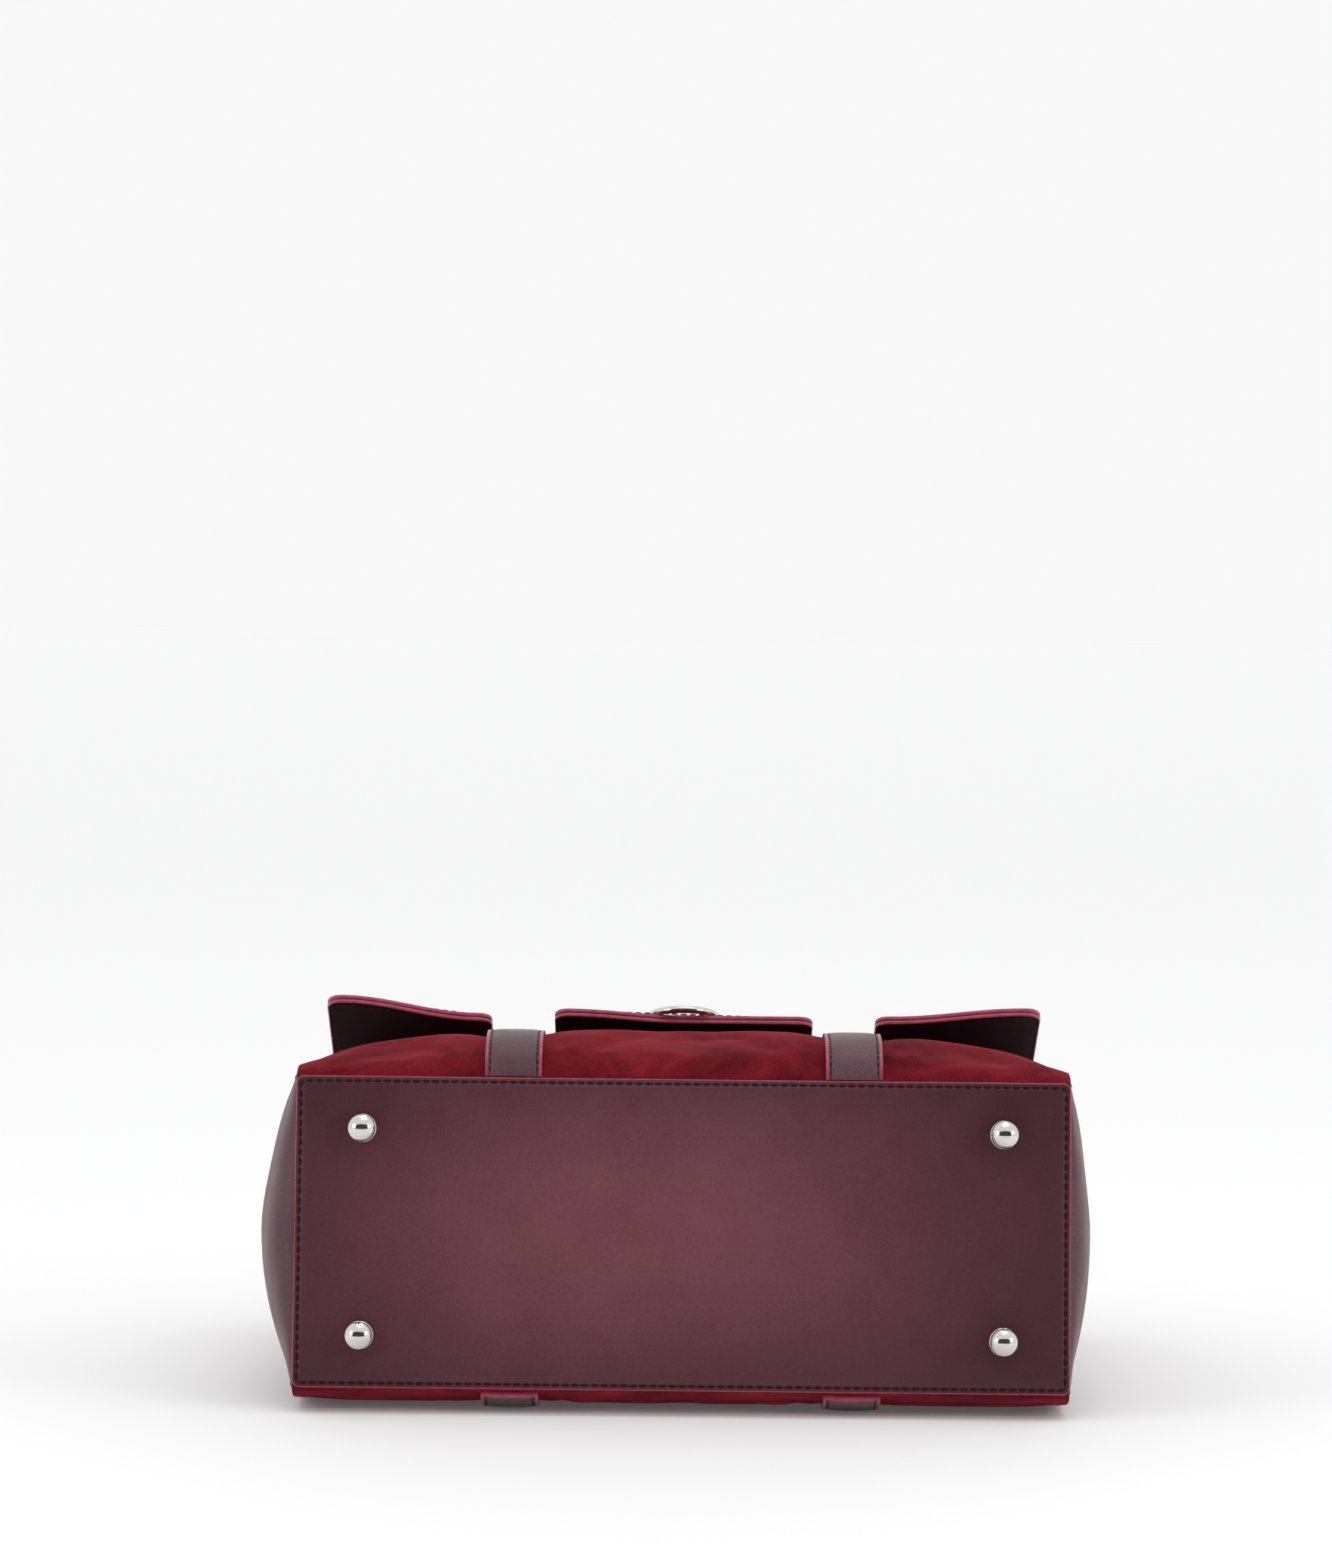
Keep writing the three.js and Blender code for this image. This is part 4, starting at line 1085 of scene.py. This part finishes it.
def make_grip(name, pivot, way, out, body, node):
    def arch(t):
        """Centre line at a share of the way round, and the way out of the arch, in its plane."""
        angle = grip_start + t * (math.pi - 2 * grip_start)
        x = grip_half_span * np.sign(np.cos(angle)) * np.sqrt(np.abs(np.cos(angle)))
        return x, handle_drop * np.sqrt(np.sin(angle))

    fine = spread(0, 1, 4000)
    arch_x, arch_y = arch(fine)
    run = np.concatenate([[0], np.cumsum(np.hypot(np.diff(arch_x), np.diff(arch_y)))])
    even = spread(0, run[-1], 130)
    x_even, y_even = np.interp(even, run, arch_x), np.interp(even, run, arch_y)
    way_x, way_y = np.gradient(x_even, even), np.gradient(y_even, even)
    length = np.hypot(way_x, way_y)
    out_x, out_y = -way_y / length, way_x / length
    if out_y[len(out_y) // 2] < 0:
        out_x, out_y = -out_x, -out_y

    def place(s, radial, sideways):
        at = lambda values: np.interp(s, even, values)
        x = at(x_even) + radial * at(out_x)
        up = at(y_even) + radial * at(out_y)
        n = sideways - grip_sink
        return x, pivot.y + up * way[0] + n * out[0], pivot.z + up * way[1] + n * out[1]

    def tube(angle, s):
        from_end = np.minimum(s, run[-1] - s)
        cap = np.sqrt(np.clip(1 - np.clip(1 - from_end / (3 * mm), 0, 1) ** 2, 0.0, 1))
        radius = (0.66 + 0.34 * smooth(from_end / (26 * mm))) * grip_radius * cap
        return place(s, radius * np.cos(angle), radius * np.sin(angle))

    ends = np.array([0, 0.15, 0.5, 1.0, 1.8, 2.8, 4.0]) * mm
    lengths = np.concatenate([ends, spread(6 * mm, run[-1] - 6 * mm, 120), run[-1] - ends[::-1]])
    grip = lay_grid(f"{name}_grip", spread(0, 2 * math.pi, 28), lengths, tube)
    merge_and_close(grip)
    tip(grip)
    finish_piece(grip, body, [plum_strap], [node])

    fin_low, fin_high = -grip_radius + 1.2 * mm, -grip_radius - 2.4 * mm
    fin_run = spread(16 * mm, run[-1] - 16 * mm, 120)
    heights = fin_low + (fin_high - fin_low) * np.array([0, 0.35, 0.7, 0.85, 1])

    def fin_face(radial, s):
        rise = smooth((np.minimum(s, run[-1] - s) - 16 * mm) / (10 * mm))
        return place(s, fin_low + (radial - fin_low) * rise, 1.1 * mm)

    fin = lay_grid(f"{name}_grip_seam", heights, fin_run, fin_face)
    face_out(fin, (0, *out))
    thicken(fin, 2.2 * mm, round_to=0.5 * mm, painted=True)
    tip(fin)
    finish_piece(fin, body, [plum_strap, raspberry_edge])
    sew_run = spread(28 * mm, run[-1] - 28 * mm, 110)
    for face_name, sideways, sign in (("outer", 1.12 * mm, 1), ("inner", -1.12 * mm, -1)):
        line = np.stack(place(sew_run, -grip_radius - 1.0 * mm, sideways), 1)
        line = line @ np.array(bag_turn).T + np.array(bag_origin)
        way_out = np.array(bag_turn) @ np.array([0, *out]) * sign
        sew(f"{name}_grip_{face_name}_stitches", line, np.tile(way_out, (len(line), 1)), body,
            thickness=0.65 * mm)


make_grip("front_handle", front_pivot, front_way, front_out, "front_grip", "front_handle")
make_grip("back_handle", back_pivot, back_way, back_out, "back_grip", "back_handle")

# %% [markdown]
# ## The flap
# The flap covers the mouth and comes down over the front in three tabs, with a slot for each
# strap between them. It is two layers of leather back to back, with painted edges and a dark
# line between, which shows along every edge. The top plate is a grid whose slots are cut out
# by deleting their faces. Where the tabs go on from it round the fold, the cut is left square,
# so that the join doesn't show.
# %% Flap sizes and layers
crease = joint_place("center_tab_fold")
flap_half = bag_box("flap_top")[1].x
flap_back = bag_box("flap_top")[0].z
slot_inner = bag_box("flap_tab_center")[1].x
slot_outer = bag_box("flap_tab_right")[0].x
slot_end = crease.z - 12 * mm
flap_thickness = 4 * mm
layer_gap = 0.42 * mm
layer = (flap_thickness - layer_gap) / 2
flap_arch = 3 * mm
tab_length = 121 * mm
tab_flare = math.radians(22.4)
tab_corner = 6 * mm
tab_belly = 2.5 * mm


def round_rim(piece, width, leave=None, segments=3):
    """Bevels a sheet's rim by edge weight, leaving out edges that leave(point) picks."""
    mesh = piece.data
    flat = {tuple(sorted(key)): [] for key in mesh.edge_keys}
    for face in mesh.polygons:
        for key in face.edge_keys:
            flat[tuple(sorted(key))].append(face.normal)
    weight = mesh.attributes.new("bevel_weight_edge", "FLOAT", "EDGE")
    sharp = math.cos(math.radians(55))
    for edge in mesh.edges:
        faces = flat[tuple(sorted(edge.vertices))]
        centre = (mesh.vertices[edge.vertices[0]].co + mesh.vertices[edge.vertices[1]].co) / 2
        kept = leave is not None and leave(centre)
        rim = len(faces) == 2 and faces[0].dot(faces[1]) < sharp
        weight.data[edge.index].value = 1.0 if rim and not kept else 0.0
    bevel = piece.modifiers.new("rounded rim", "BEVEL")
    bevel.width = width
    bevel.segments = segments
    bevel.limit_method = "WEIGHT"
    bevel.material = 1
    apply_modifiers(piece)


def two_layers(name, make_sheet, out_way, leave=None):
    """Two thickened sheets with a dark line between them, as one piece."""
    sheets = []
    for number, lift in ((1, flap_thickness / 2), (2, flap_thickness / 2 - layer - layer_gap)):
        sheet = make_sheet(f"{name}_{number}", lift)
        face_out(sheet, out_way)
        thicken(sheet, layer, painted=True)
        round_rim(sheet, 0.55 * mm, leave)
        # The under layer gets the darker copy of the plum leather, as painted shade.
        sheet.data.materials[0] = plum_leather if number == 1 else plum_leather_painted_shade
        sheet.data.materials[1] = raspberry_edge
        sheets.append(sheet)
    return tip(join(name, sheets))


def lines_with(values, *more):
    """Grid lines at all the values, sorted, without near repeats."""
    every = np.sort(np.concatenate([np.atleast_1d(values), *map(np.atleast_1d, more)]))
    return every[np.concatenate([[True], np.diff(every) > 0.2 * mm])]


# %% Flap top
edge_steps = np.array([0, 0.5, 1.1, 1.6, 2.0, 2.4, 3.0, 4.2]) * mm
beside_slots = np.concatenate([slot_inner - edge_steps, slot_outer + edge_steps])
flap_columns = lines_with(spread(-flap_half, flap_half, 40), -flap_half + edge_steps,
                          flap_half - edge_steps, beside_slots, -beside_slots)
plate_front = crease.z - hinge_room
flap_rows = lines_with(spread(flap_back, plate_front, 14), flap_back + edge_steps,
                       slot_end - edge_steps, slot_end)


def flap_distance(x, z):
    """From the plate's sides and back, and from the slots."""
    sides = np.minimum(flap_half - np.abs(x), z - flap_back)
    beside = np.maximum(np.maximum(slot_inner - np.abs(x), np.abs(x) - slot_outer), slot_end - z)
    return np.minimum(sides, np.maximum(beside, 0))


def plate_height(z):
    share = (z - flap_back) / (plate_front - flap_back)
    return crease.y + flap_arch * np.sin(np.pi * share)


def flap_plate(name, lift):
    def face(x, z):
        distance = flap_distance(x, z)
        relief = edge_relief(distance, 0.2 * mm, 0.3 * mm) - 0.2 * mm
        return x, plate_height(z) + lift + (relief if lift > 0 else 0), z

    sheet = lay_grid(name, flap_columns, flap_rows, face,
                     lambda x, z: flap_distance(x, z) / mm)
    pick(sheet, "FACE", lambda f: slot_inner < abs(f.center.x) < slot_outer
         and f.center.z > slot_end)
    ops.mesh.delete(type="FACE")
    ops.object.mode_set(mode="OBJECT")
    return sheet


flap_top = two_layers("flap_top_leather", flap_plate, (0, 1, 0),
                      leave=lambda c: c.z > plate_front - 0.05 * mm)
flap_finishes = [plum_leather, raspberry_edge, plum_leather_painted_shade]
finish_piece(flap_top, "flap", flap_finishes, ["flap_top"])


def plate_line(x_values, z_values):
    x, z = np.broadcast_arrays(np.asarray(x_values, float), np.asarray(z_values, float))
    return [in_row(plate_height(c) + flap_thickness / 2 - 0.22 * mm, c, a) for a, c in zip(x, z)]


sewn_half = flap_half - stitch_in
side_run = spread(flap_back + 3 * mm, plate_front, 20)
for name, x_values, z_values in (
        ("back", spread(-sewn_half, sewn_half, 60), flap_back + stitch_in),
        ("left", -sewn_half, side_run), ("right", sewn_half, side_run)):
    line = plate_line(x_values, z_values)
    sew(f"flap_{name}_stitches", line, [up_the_bag] * len(line), "flap")

# %% [markdown]
# ## The three tabs
# Each tab starts at the plate, turns down round the fold, and flares out over the front. The
# tabs are drawn along one route in the bag's side view. A slow rise lifts their outer corners,
# as leather that has been packed flat stays lifted, and their free corners are round. Each
# tab bends at the fold, and is one fixed piece, on neither the flap's body nor its own.
# %% Tabs
def tab_route():
    """(y, z) along the middle of a tab, and how far each point is past the fold."""
    way = np.array([-math.cos(tab_flare), math.sin(tab_flare)])
    start = np.array([crease.y, plate_front])
    first = np.array([crease.y, crease.z]) + hinge_room * way
    bend = smooth_bend(start, np.array([0, 1.0]), first, way, steps=8)
    past = np.concatenate([spread(hinge_room, tab_length - 9 * mm, 26),
                           tab_length - np.array([7, 5.5]) * mm, (tab_length - edge_steps)[::-1]])
    straight = np.array([crease.y, crease.z]) + past[:, None] * way
    route = np.vstack([[start], bend, straight])
    return route, np.concatenate([spread(0, hinge_room, len(bend) + 1)[:-1], past])


route, past_fold = tab_route()
tab_way = np.gradient(route, run_along(route), axis=0)
tab_way /= np.linalg.norm(tab_way, axis=1)[:, None]
tab_out = np.stack([tab_way[:, 1], -tab_way[:, 0]], 1)


def make_tab(name, low_x, high_x, rise_low, rise_high, body, node, settles=1.0):
    """rise_low and rise_high lift the corners; settles is the share of the width between them."""
    middle_x, half = (low_x + high_x) / 2, (high_x - low_x) / 2

    def surface(x, s, lift, relief_on=True):
        distance = np.minimum(half - np.abs(x), tab_length - s)
        in_x = np.maximum(0, np.abs(x) - (half - tab_corner))
        in_s = np.maximum(0, s - (tab_length - tab_corner))
        both = (in_x > 0) & (in_s > 0)
        scale = np.where(both, np.maximum(in_x, in_s) / np.maximum(np.hypot(in_x, in_s), 1e-9), 1)
        new_x = np.where(both, np.sign(x) * (half - tab_corner + in_x * scale), x)
        new_s = np.where(both, tab_length - tab_corner + in_s * scale, s)
        share = np.clip((new_s - hinge_room) / (tab_length - hinge_room), 0, 1)
        across_share = smooth((new_x + half) / (2 * half * settles) * 1.25 - 0.125)
        rise = rise_low + (rise_high - rise_low) * across_share
        n = lift + rise * share**2 + tab_belly * np.sin(np.pi * share)
        if relief_on:
            n = n + (edge_relief(distance, 0.2 * mm, 0.3 * mm) - 0.2 * mm) * smooth(share * 12)
        at = lambda values: np.interp(new_s, past_fold, values)
        y = at(route[:, 0]) + n * at(tab_out[:, 0])
        z = at(route[:, 1]) + n * at(tab_out[:, 1])
        return middle_x + new_x, y, z

    def sheet(sheet_name, lift):
        return lay_grid(sheet_name, edge_fine(half), past_fold,
                        lambda x, s: surface(x, s, lift, lift > 0),
                        lambda x, s: np.minimum(half - np.abs(x), tab_length - s) / mm)

    tab = two_layers(name, sheet, (0, 0.3, 1), leave=lambda c: c.z < plate_front + 0.05 * mm
                     and c.y > crease.y - 3 * mm)
    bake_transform(tab)
    finish_piece(tab, None, flap_finishes, [node])
    turn_in = tab_corner - 2 * mm
    arcs = spread(0, math.pi / 2, 5)
    reach = half - tab_corner
    down = spread(6 * mm, tab_length - tab_corner, 30)
    line_x = np.concatenate([np.full(len(down), half - 2 * mm), reach + turn_in * np.cos(arcs),
                             -reach - turn_in * np.cos(arcs[::-1]), np.full(len(down), -half + 2 * mm)])
    line_s = np.concatenate([down, tab_length - tab_corner + turn_in * np.sin(arcs),
                             tab_length - tab_corner + turn_in * np.sin(arcs[::-1]), down[::-1]])
    for side_name, lift, sign in (("outer", flap_thickness / 2 - 0.02 * mm, 1),
                                  ("inner", -flap_thickness / 2 + 0.05 * mm, -1)):
        line, out = seam_on(lambda a, b: surface(a, b, lift, sign > 0), line_x, line_s)
        out *= sign * np.sign(out @ np.array(out_of_front + 0.3 * up_the_bag))[:, None]
        sew(f"{name}_{side_name}_stitches", line, out, body)


make_tab("flap_tab_left_leather", -flap_half, -slot_outer, 8.6 * mm, 0.6 * mm, "left_tab",
         "flap_tab_left")
make_tab("flap_tab_center_leather", -slot_inner, slot_inner, 3.2 * mm, 0.4 * mm, "center_tab",
         "flap_tab_center", settles=0.55)
make_tab("flap_tab_right_leather", slot_outer, flap_half, 1.0 * mm, 5.6 * mm, "right_tab",
         "flap_tab_right")

# %% [markdown]
# ## The band that holds the flap
# The flap is fastened by a band of thinner leather, sewn to the back of the bag. It runs up
# under the back straps, turns forward over the mouth's edge, and is sewn under the flap's
# plate. It bends as the flap opens, but here it is one fixed piece, on neither the bag's body
# nor the flap's.
# %% Flap band
band_top = crease.y - flap_thickness / 2 - 0.15 * mm


def band_route():
    up = spread(band_foot, height - 2.5 * mm, 10)
    back = np.stack([up, -(back_depth(0, up) + band_lift)], 1)
    over = np.stack([np.full(6, band_top), spread(flap_back - 1 * mm, flap_back + 9 * mm, 5)], 1)
    bend = smooth_bend(back[-1], np.array([1.0, 0]), over[0], np.array([0, 1.0]), steps=8)
    return np.vstack([back, bend, over])


band_line = band_route()
band_run = run_along(band_line)


def band_face(x, s):
    y = np.interp(s, band_run, band_line[:, 0])
    z = np.interp(s, band_run, band_line[:, 1])
    sideways = (back_depth(0, y) - back_depth(x, y)) * smooth((height - y) / (8 * mm) + 0.25)
    return x, y, z + sideways * (s < band_run[11])


band = lay_grid("flap_band_leather", edge_fine(flap_half), band_run, band_face,
                lambda x, s: np.minimum(flap_half - np.abs(x), s) / mm)
face_out(band, (0, 0, -1))
thicken(band, band_leather - 0.1 * mm, round_to=0.45 * mm, painted=True)
tip(band)
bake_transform(band)
finish_piece(band, None, [plum_leather, raspberry_edge], ["flap_band"])
line, out = seam_on(band_face, spread(-sewn_half, sewn_half, 80), stitch_in)
out *= -np.sign(out @ np.array(out_of_front))[:, None]
sew("flap_band_stitches", line, out, "bag_body")

# %% [markdown]
# ## Pull ring and its keeper
# The ring is bent from round wire and polished. It is a torus fitted to the CAD ring: the
# ring's middle is the mean of its points, and its axis is the way in which they spread least.
# A leather strip is folded round it and sewn to the centre tab.
# %% Pull ring
def disc_place(node):
    """The middle of a round CAD node and its axis, from the spread of its points."""
    points = np.array([v.co for v in frame["nodes"][node].data.vertices])
    points = np.unique(points.round(6), axis=0)
    centre = (points.min(0) + points.max(0)) / 2
    ways = np.linalg.eigh(np.cov((points - points.mean(0)).T))[1]
    return Vector(centre), Vector(ways[:, 0])


def facing_along(centre, axis):
    """The move that takes a piece from the origin, facing Z, to a centre, facing an axis."""
    return Matrix.Translation(centre) @ axis.to_track_quat("Z", "Y").to_matrix().to_4x4()


ring_wire = 1.65 * mm
ring_radius = 14.35 * mm
ring_centre, ring_axis = disc_place("pull_ring")
deselect()
ops.mesh.primitive_torus_add(major_segments=112, minor_segments=20, major_radius=ring_radius,
                             minor_radius=ring_wire)
ring = bpy.context.object
ring.name = "pull_ring_wire"
ring.data.transform(facing_along(ring_centre, ring_axis))
select_only(ring)
ops.object.shade_smooth()
finish_piece(ring, "ring", [nickel], ["pull_ring"])

# %% Ring keeper
ring_pivot = joint_place("ring_swing")
fold_to_pivot = np.array([ring_pivot.y - crease.y, ring_pivot.z - crease.z])
tab_down = np.array([-math.cos(tab_flare), math.sin(tab_flare)])
tab_up = np.array([math.sin(tab_flare), math.cos(tab_flare)])
pivot_past, pivot_lift = fold_to_pivot @ tab_down, fold_to_pivot @ tab_up
keeper_wall, keeper_bore, keeper_length, keeper_width = 1.1 * mm, 2.75 * mm, 36 * mm, 10 * mm
keeper_loop = keeper_bore + keeper_wall
keeper_foot = pivot_lift - keeper_loop + 0.05 * mm
keeper_top = keeper_foot + 2 * keeper_wall + 0.1 * mm


def keeper_route():
    """The strip's outer face as (distance towards the fold, lift), over the ring and back."""
    turns = np.radians(spread(38, 262, 30))
    circle = np.stack([keeper_loop * np.cos(turns), pivot_lift + keeper_loop * np.sin(turns)], 1)
    top = np.stack([spread(keeper_length, 10 * mm, 16), np.full(17, keeper_top)], 1)
    under = np.stack([spread(3 * mm, keeper_length, 18), np.full(19, keeper_foot)], 1)
    neck = smooth_bend(top[-1], np.array([-1.0, 0]), circle[0],
                       np.array([-math.sin(turns[0]), math.cos(turns[0])]), steps=8)
    return np.vstack([top, neck, circle, under])


keeper_line = keeper_route()
keeper_run = run_along(keeper_line)


def keeper_face(x, s):
    towards = np.interp(s, keeper_run, keeper_line[:, 0])
    lift = np.interp(s, keeper_run, keeper_line[:, 1])
    past = pivot_past - towards
    return (x, crease.y + past * tab_down[0] + lift * tab_up[0],
            crease.z + past * tab_down[1] + lift * tab_up[1])


keeper = lay_grid("ring_keeper_leather", edge_fine(keeper_width / 2, coarse=2), keeper_run,
                  keeper_face, lambda x, s: np.minimum(keeper_width / 2 - np.abs(x), s) / mm)
face_out_way = Vector((0, *tab_up))
top_face = max(keeper.data.polygons, key=lambda p: p.center.dot(face_out_way))
if top_face.normal.dot(face_out_way) < 0:
    keeper.data.flip_normals()
thicken(keeper, keeper_wall, round_to=0.35 * mm, painted=True, segments=2)
tip(keeper)
finish_piece(keeper, "center_tab", [plum_leather, raspberry_edge], ["ring_keeper"])
box_x = np.array([-3, 3, 3, -3, -3]) * mm
box_s = np.array([2, 2, 22, 22, 2]) * mm
round_box = spread(0, 4, 40)
box_line = seam_on(keeper_face, np.interp(round_box, range(5), box_x),
                   np.interp(round_box, range(5), box_s))[0]
box_out = np.tile(np.array(bag_turn @ face_out_way), (len(box_line), 1))
sew("ring_keeper_stitches", box_line, box_out, "center_tab", pitch=3 * mm, thickness=0.65 * mm)

# %% [markdown]
# ## Magnetic snap
# Each half of the snap is a plated disc with a stepped face: the stud has a low pin in its
# middle, and the socket a hole to take it. Both are spun from their profiles.
# %% Magnetic snap
snap_r, snap_thick = 9 * mm, 2.2 * mm
half_thick = snap_thick / 2
rim = [(0, -half_thick), (snap_r - 0.6 * mm, -half_thick), (snap_r, -half_thick + 0.5 * mm),
       (snap_r, half_thick - 0.7 * mm), (snap_r - 0.7 * mm, half_thick - 0.15 * mm)]
stud_face = [(5.2 * mm, half_thick - 0.15 * mm), (4.8 * mm, half_thick - 0.7 * mm),
             (2.6 * mm, half_thick - 0.7 * mm), (2.4 * mm, half_thick), (0, half_thick)]
socket_face = [(6.2 * mm, half_thick - 0.15 * mm), (5.8 * mm, half_thick),
               (3.0 * mm, half_thick), (2.8 * mm, half_thick - 1.2 * mm), (0, half_thick - 1.2 * mm)]
for node, face_profile, body, look in (
        ("snap_stud", stud_face, "center_tab", -1), ("snap_socket", socket_face, "bag_body", 1)):
    centre, axis = disc_place(node)
    if axis.dot(out_of_front) * look < 0:
        axis = -axis
    snap = spin_round(f"{node}_disc", rim + face_profile, steps=48)
    snap.data.transform(facing_along(centre, axis))
    select_only(snap)
    ops.object.shade_smooth_by_angle(angle=math.radians(35))
    finish_piece(snap, body, [nickel], [node])

# %% [markdown]
# ## Inside the bag
# A cotton lining hangs inside the walls, under a leather facing round the mouth, with a slip
# pocket on the back. Both follow one closed outline, a given distance in from the skins. The
# board and the feet's washers lie between the lining and the base, and keep their CAD shapes.
# %% Inside outline
inner_bulge = 12 * mm


def inside(turn, y, inset):
    """The inner outline: turn runs 0 to 1 along the front, to 2 down one side, to 3, to 4."""
    side_depth = seam_depth(y) - inset
    reach_x = half_width - inset
    part = np.clip(np.floor(turn), 0, 3)
    share = turn - part
    x_front, x_back = reach_x * (1 - 2 * share), reach_x * (2 * share - 1)
    z_left, z_right = side_depth * (1 - 2 * share), side_depth * (2 * share - 1)
    x = np.select([part == 0, part == 1, part == 2],
                  [x_front, -gusset_reach(y, z_left, inner_bulge) + inset, x_back],
                  gusset_reach(y, z_right, inner_bulge) - inset)
    z = np.select([part == 0, part == 1, part == 2],
                  [front_depth(x_front, y) - inset, z_left, -back_depth(x_back, y) + inset], z_right)
    return x, y, z


facing_foot = bag_box("mouth_facing")[0].y
lining_floor = bag_box("lining")[0].y
turns = spread(0, 4, 160)


def make_wall(name, low, high, inset, steps):
    wall = lay_grid(name, turns, spread(low, high, steps), lambda t, y: inside(t, y, inset))
    merge_and_close(wall)
    first = wall.data.polygons[0]
    if first.normal.dot(first.center) < 0:
        wall.data.flip_normals()
    return wall


lining = make_wall("lining_cloth", lining_floor, facing_foot - gap, suede + 2.0 * mm, 30)
pick(lining, "EDGE", lambda edge: all(
    abs(lining.data.vertices[v].co.y - lining_floor) < 0.01 * mm for v in edge.vertices))
ops.mesh.edge_face_add()
ops.object.mode_set(mode="OBJECT")
thicken(lining, 0.8 * mm)
tip(lining)
finish_piece(lining, "bag_body", [lining_cloth], ["lining"])
facing = make_wall("mouth_facing_leather", facing_foot, height - 0.2 * mm, suede + 0.4 * mm, 6)
thicken(facing, 2.4 * mm, round_to=0.6 * mm, segments=2)
tip(facing)
finish_piece(facing, "bag_body", [plum_leather], ["mouth_facing"])

# %% Pocket, board and washers
pocket_low, pocket_high = bag_box("inner_pocket")
pocket_half = pocket_high.x


def pocket_face(x, y):
    hem = 0.7 * mm * smooth((y - pocket_high.y + 14 * mm) / (2 * mm))
    return x, y, -(back_depth(x, y) - suede - 3.6 * mm) + hem


pocket = lay_grid("inner_pocket_cloth", spread(-pocket_half, pocket_half, 40),
                  spread(pocket_low.y, pocket_high.y, 40), pocket_face)
face_out(pocket, (0, 0, 1))
thicken(pocket, 0.9 * mm, round_to=0.3 * mm, segments=2)
tip(pocket)
finish_piece(pocket, "bag_body", [lining_cloth], ["inner_pocket"])

for node in ["base_board"] + [f"foot_washer_{n}" for n in range(1, 5)]:
    own = frame["nodes"][node]
    own.data.materials.clear()
    own.data.materials.append(fibre_board if node == "base_board" else zinc_steel)
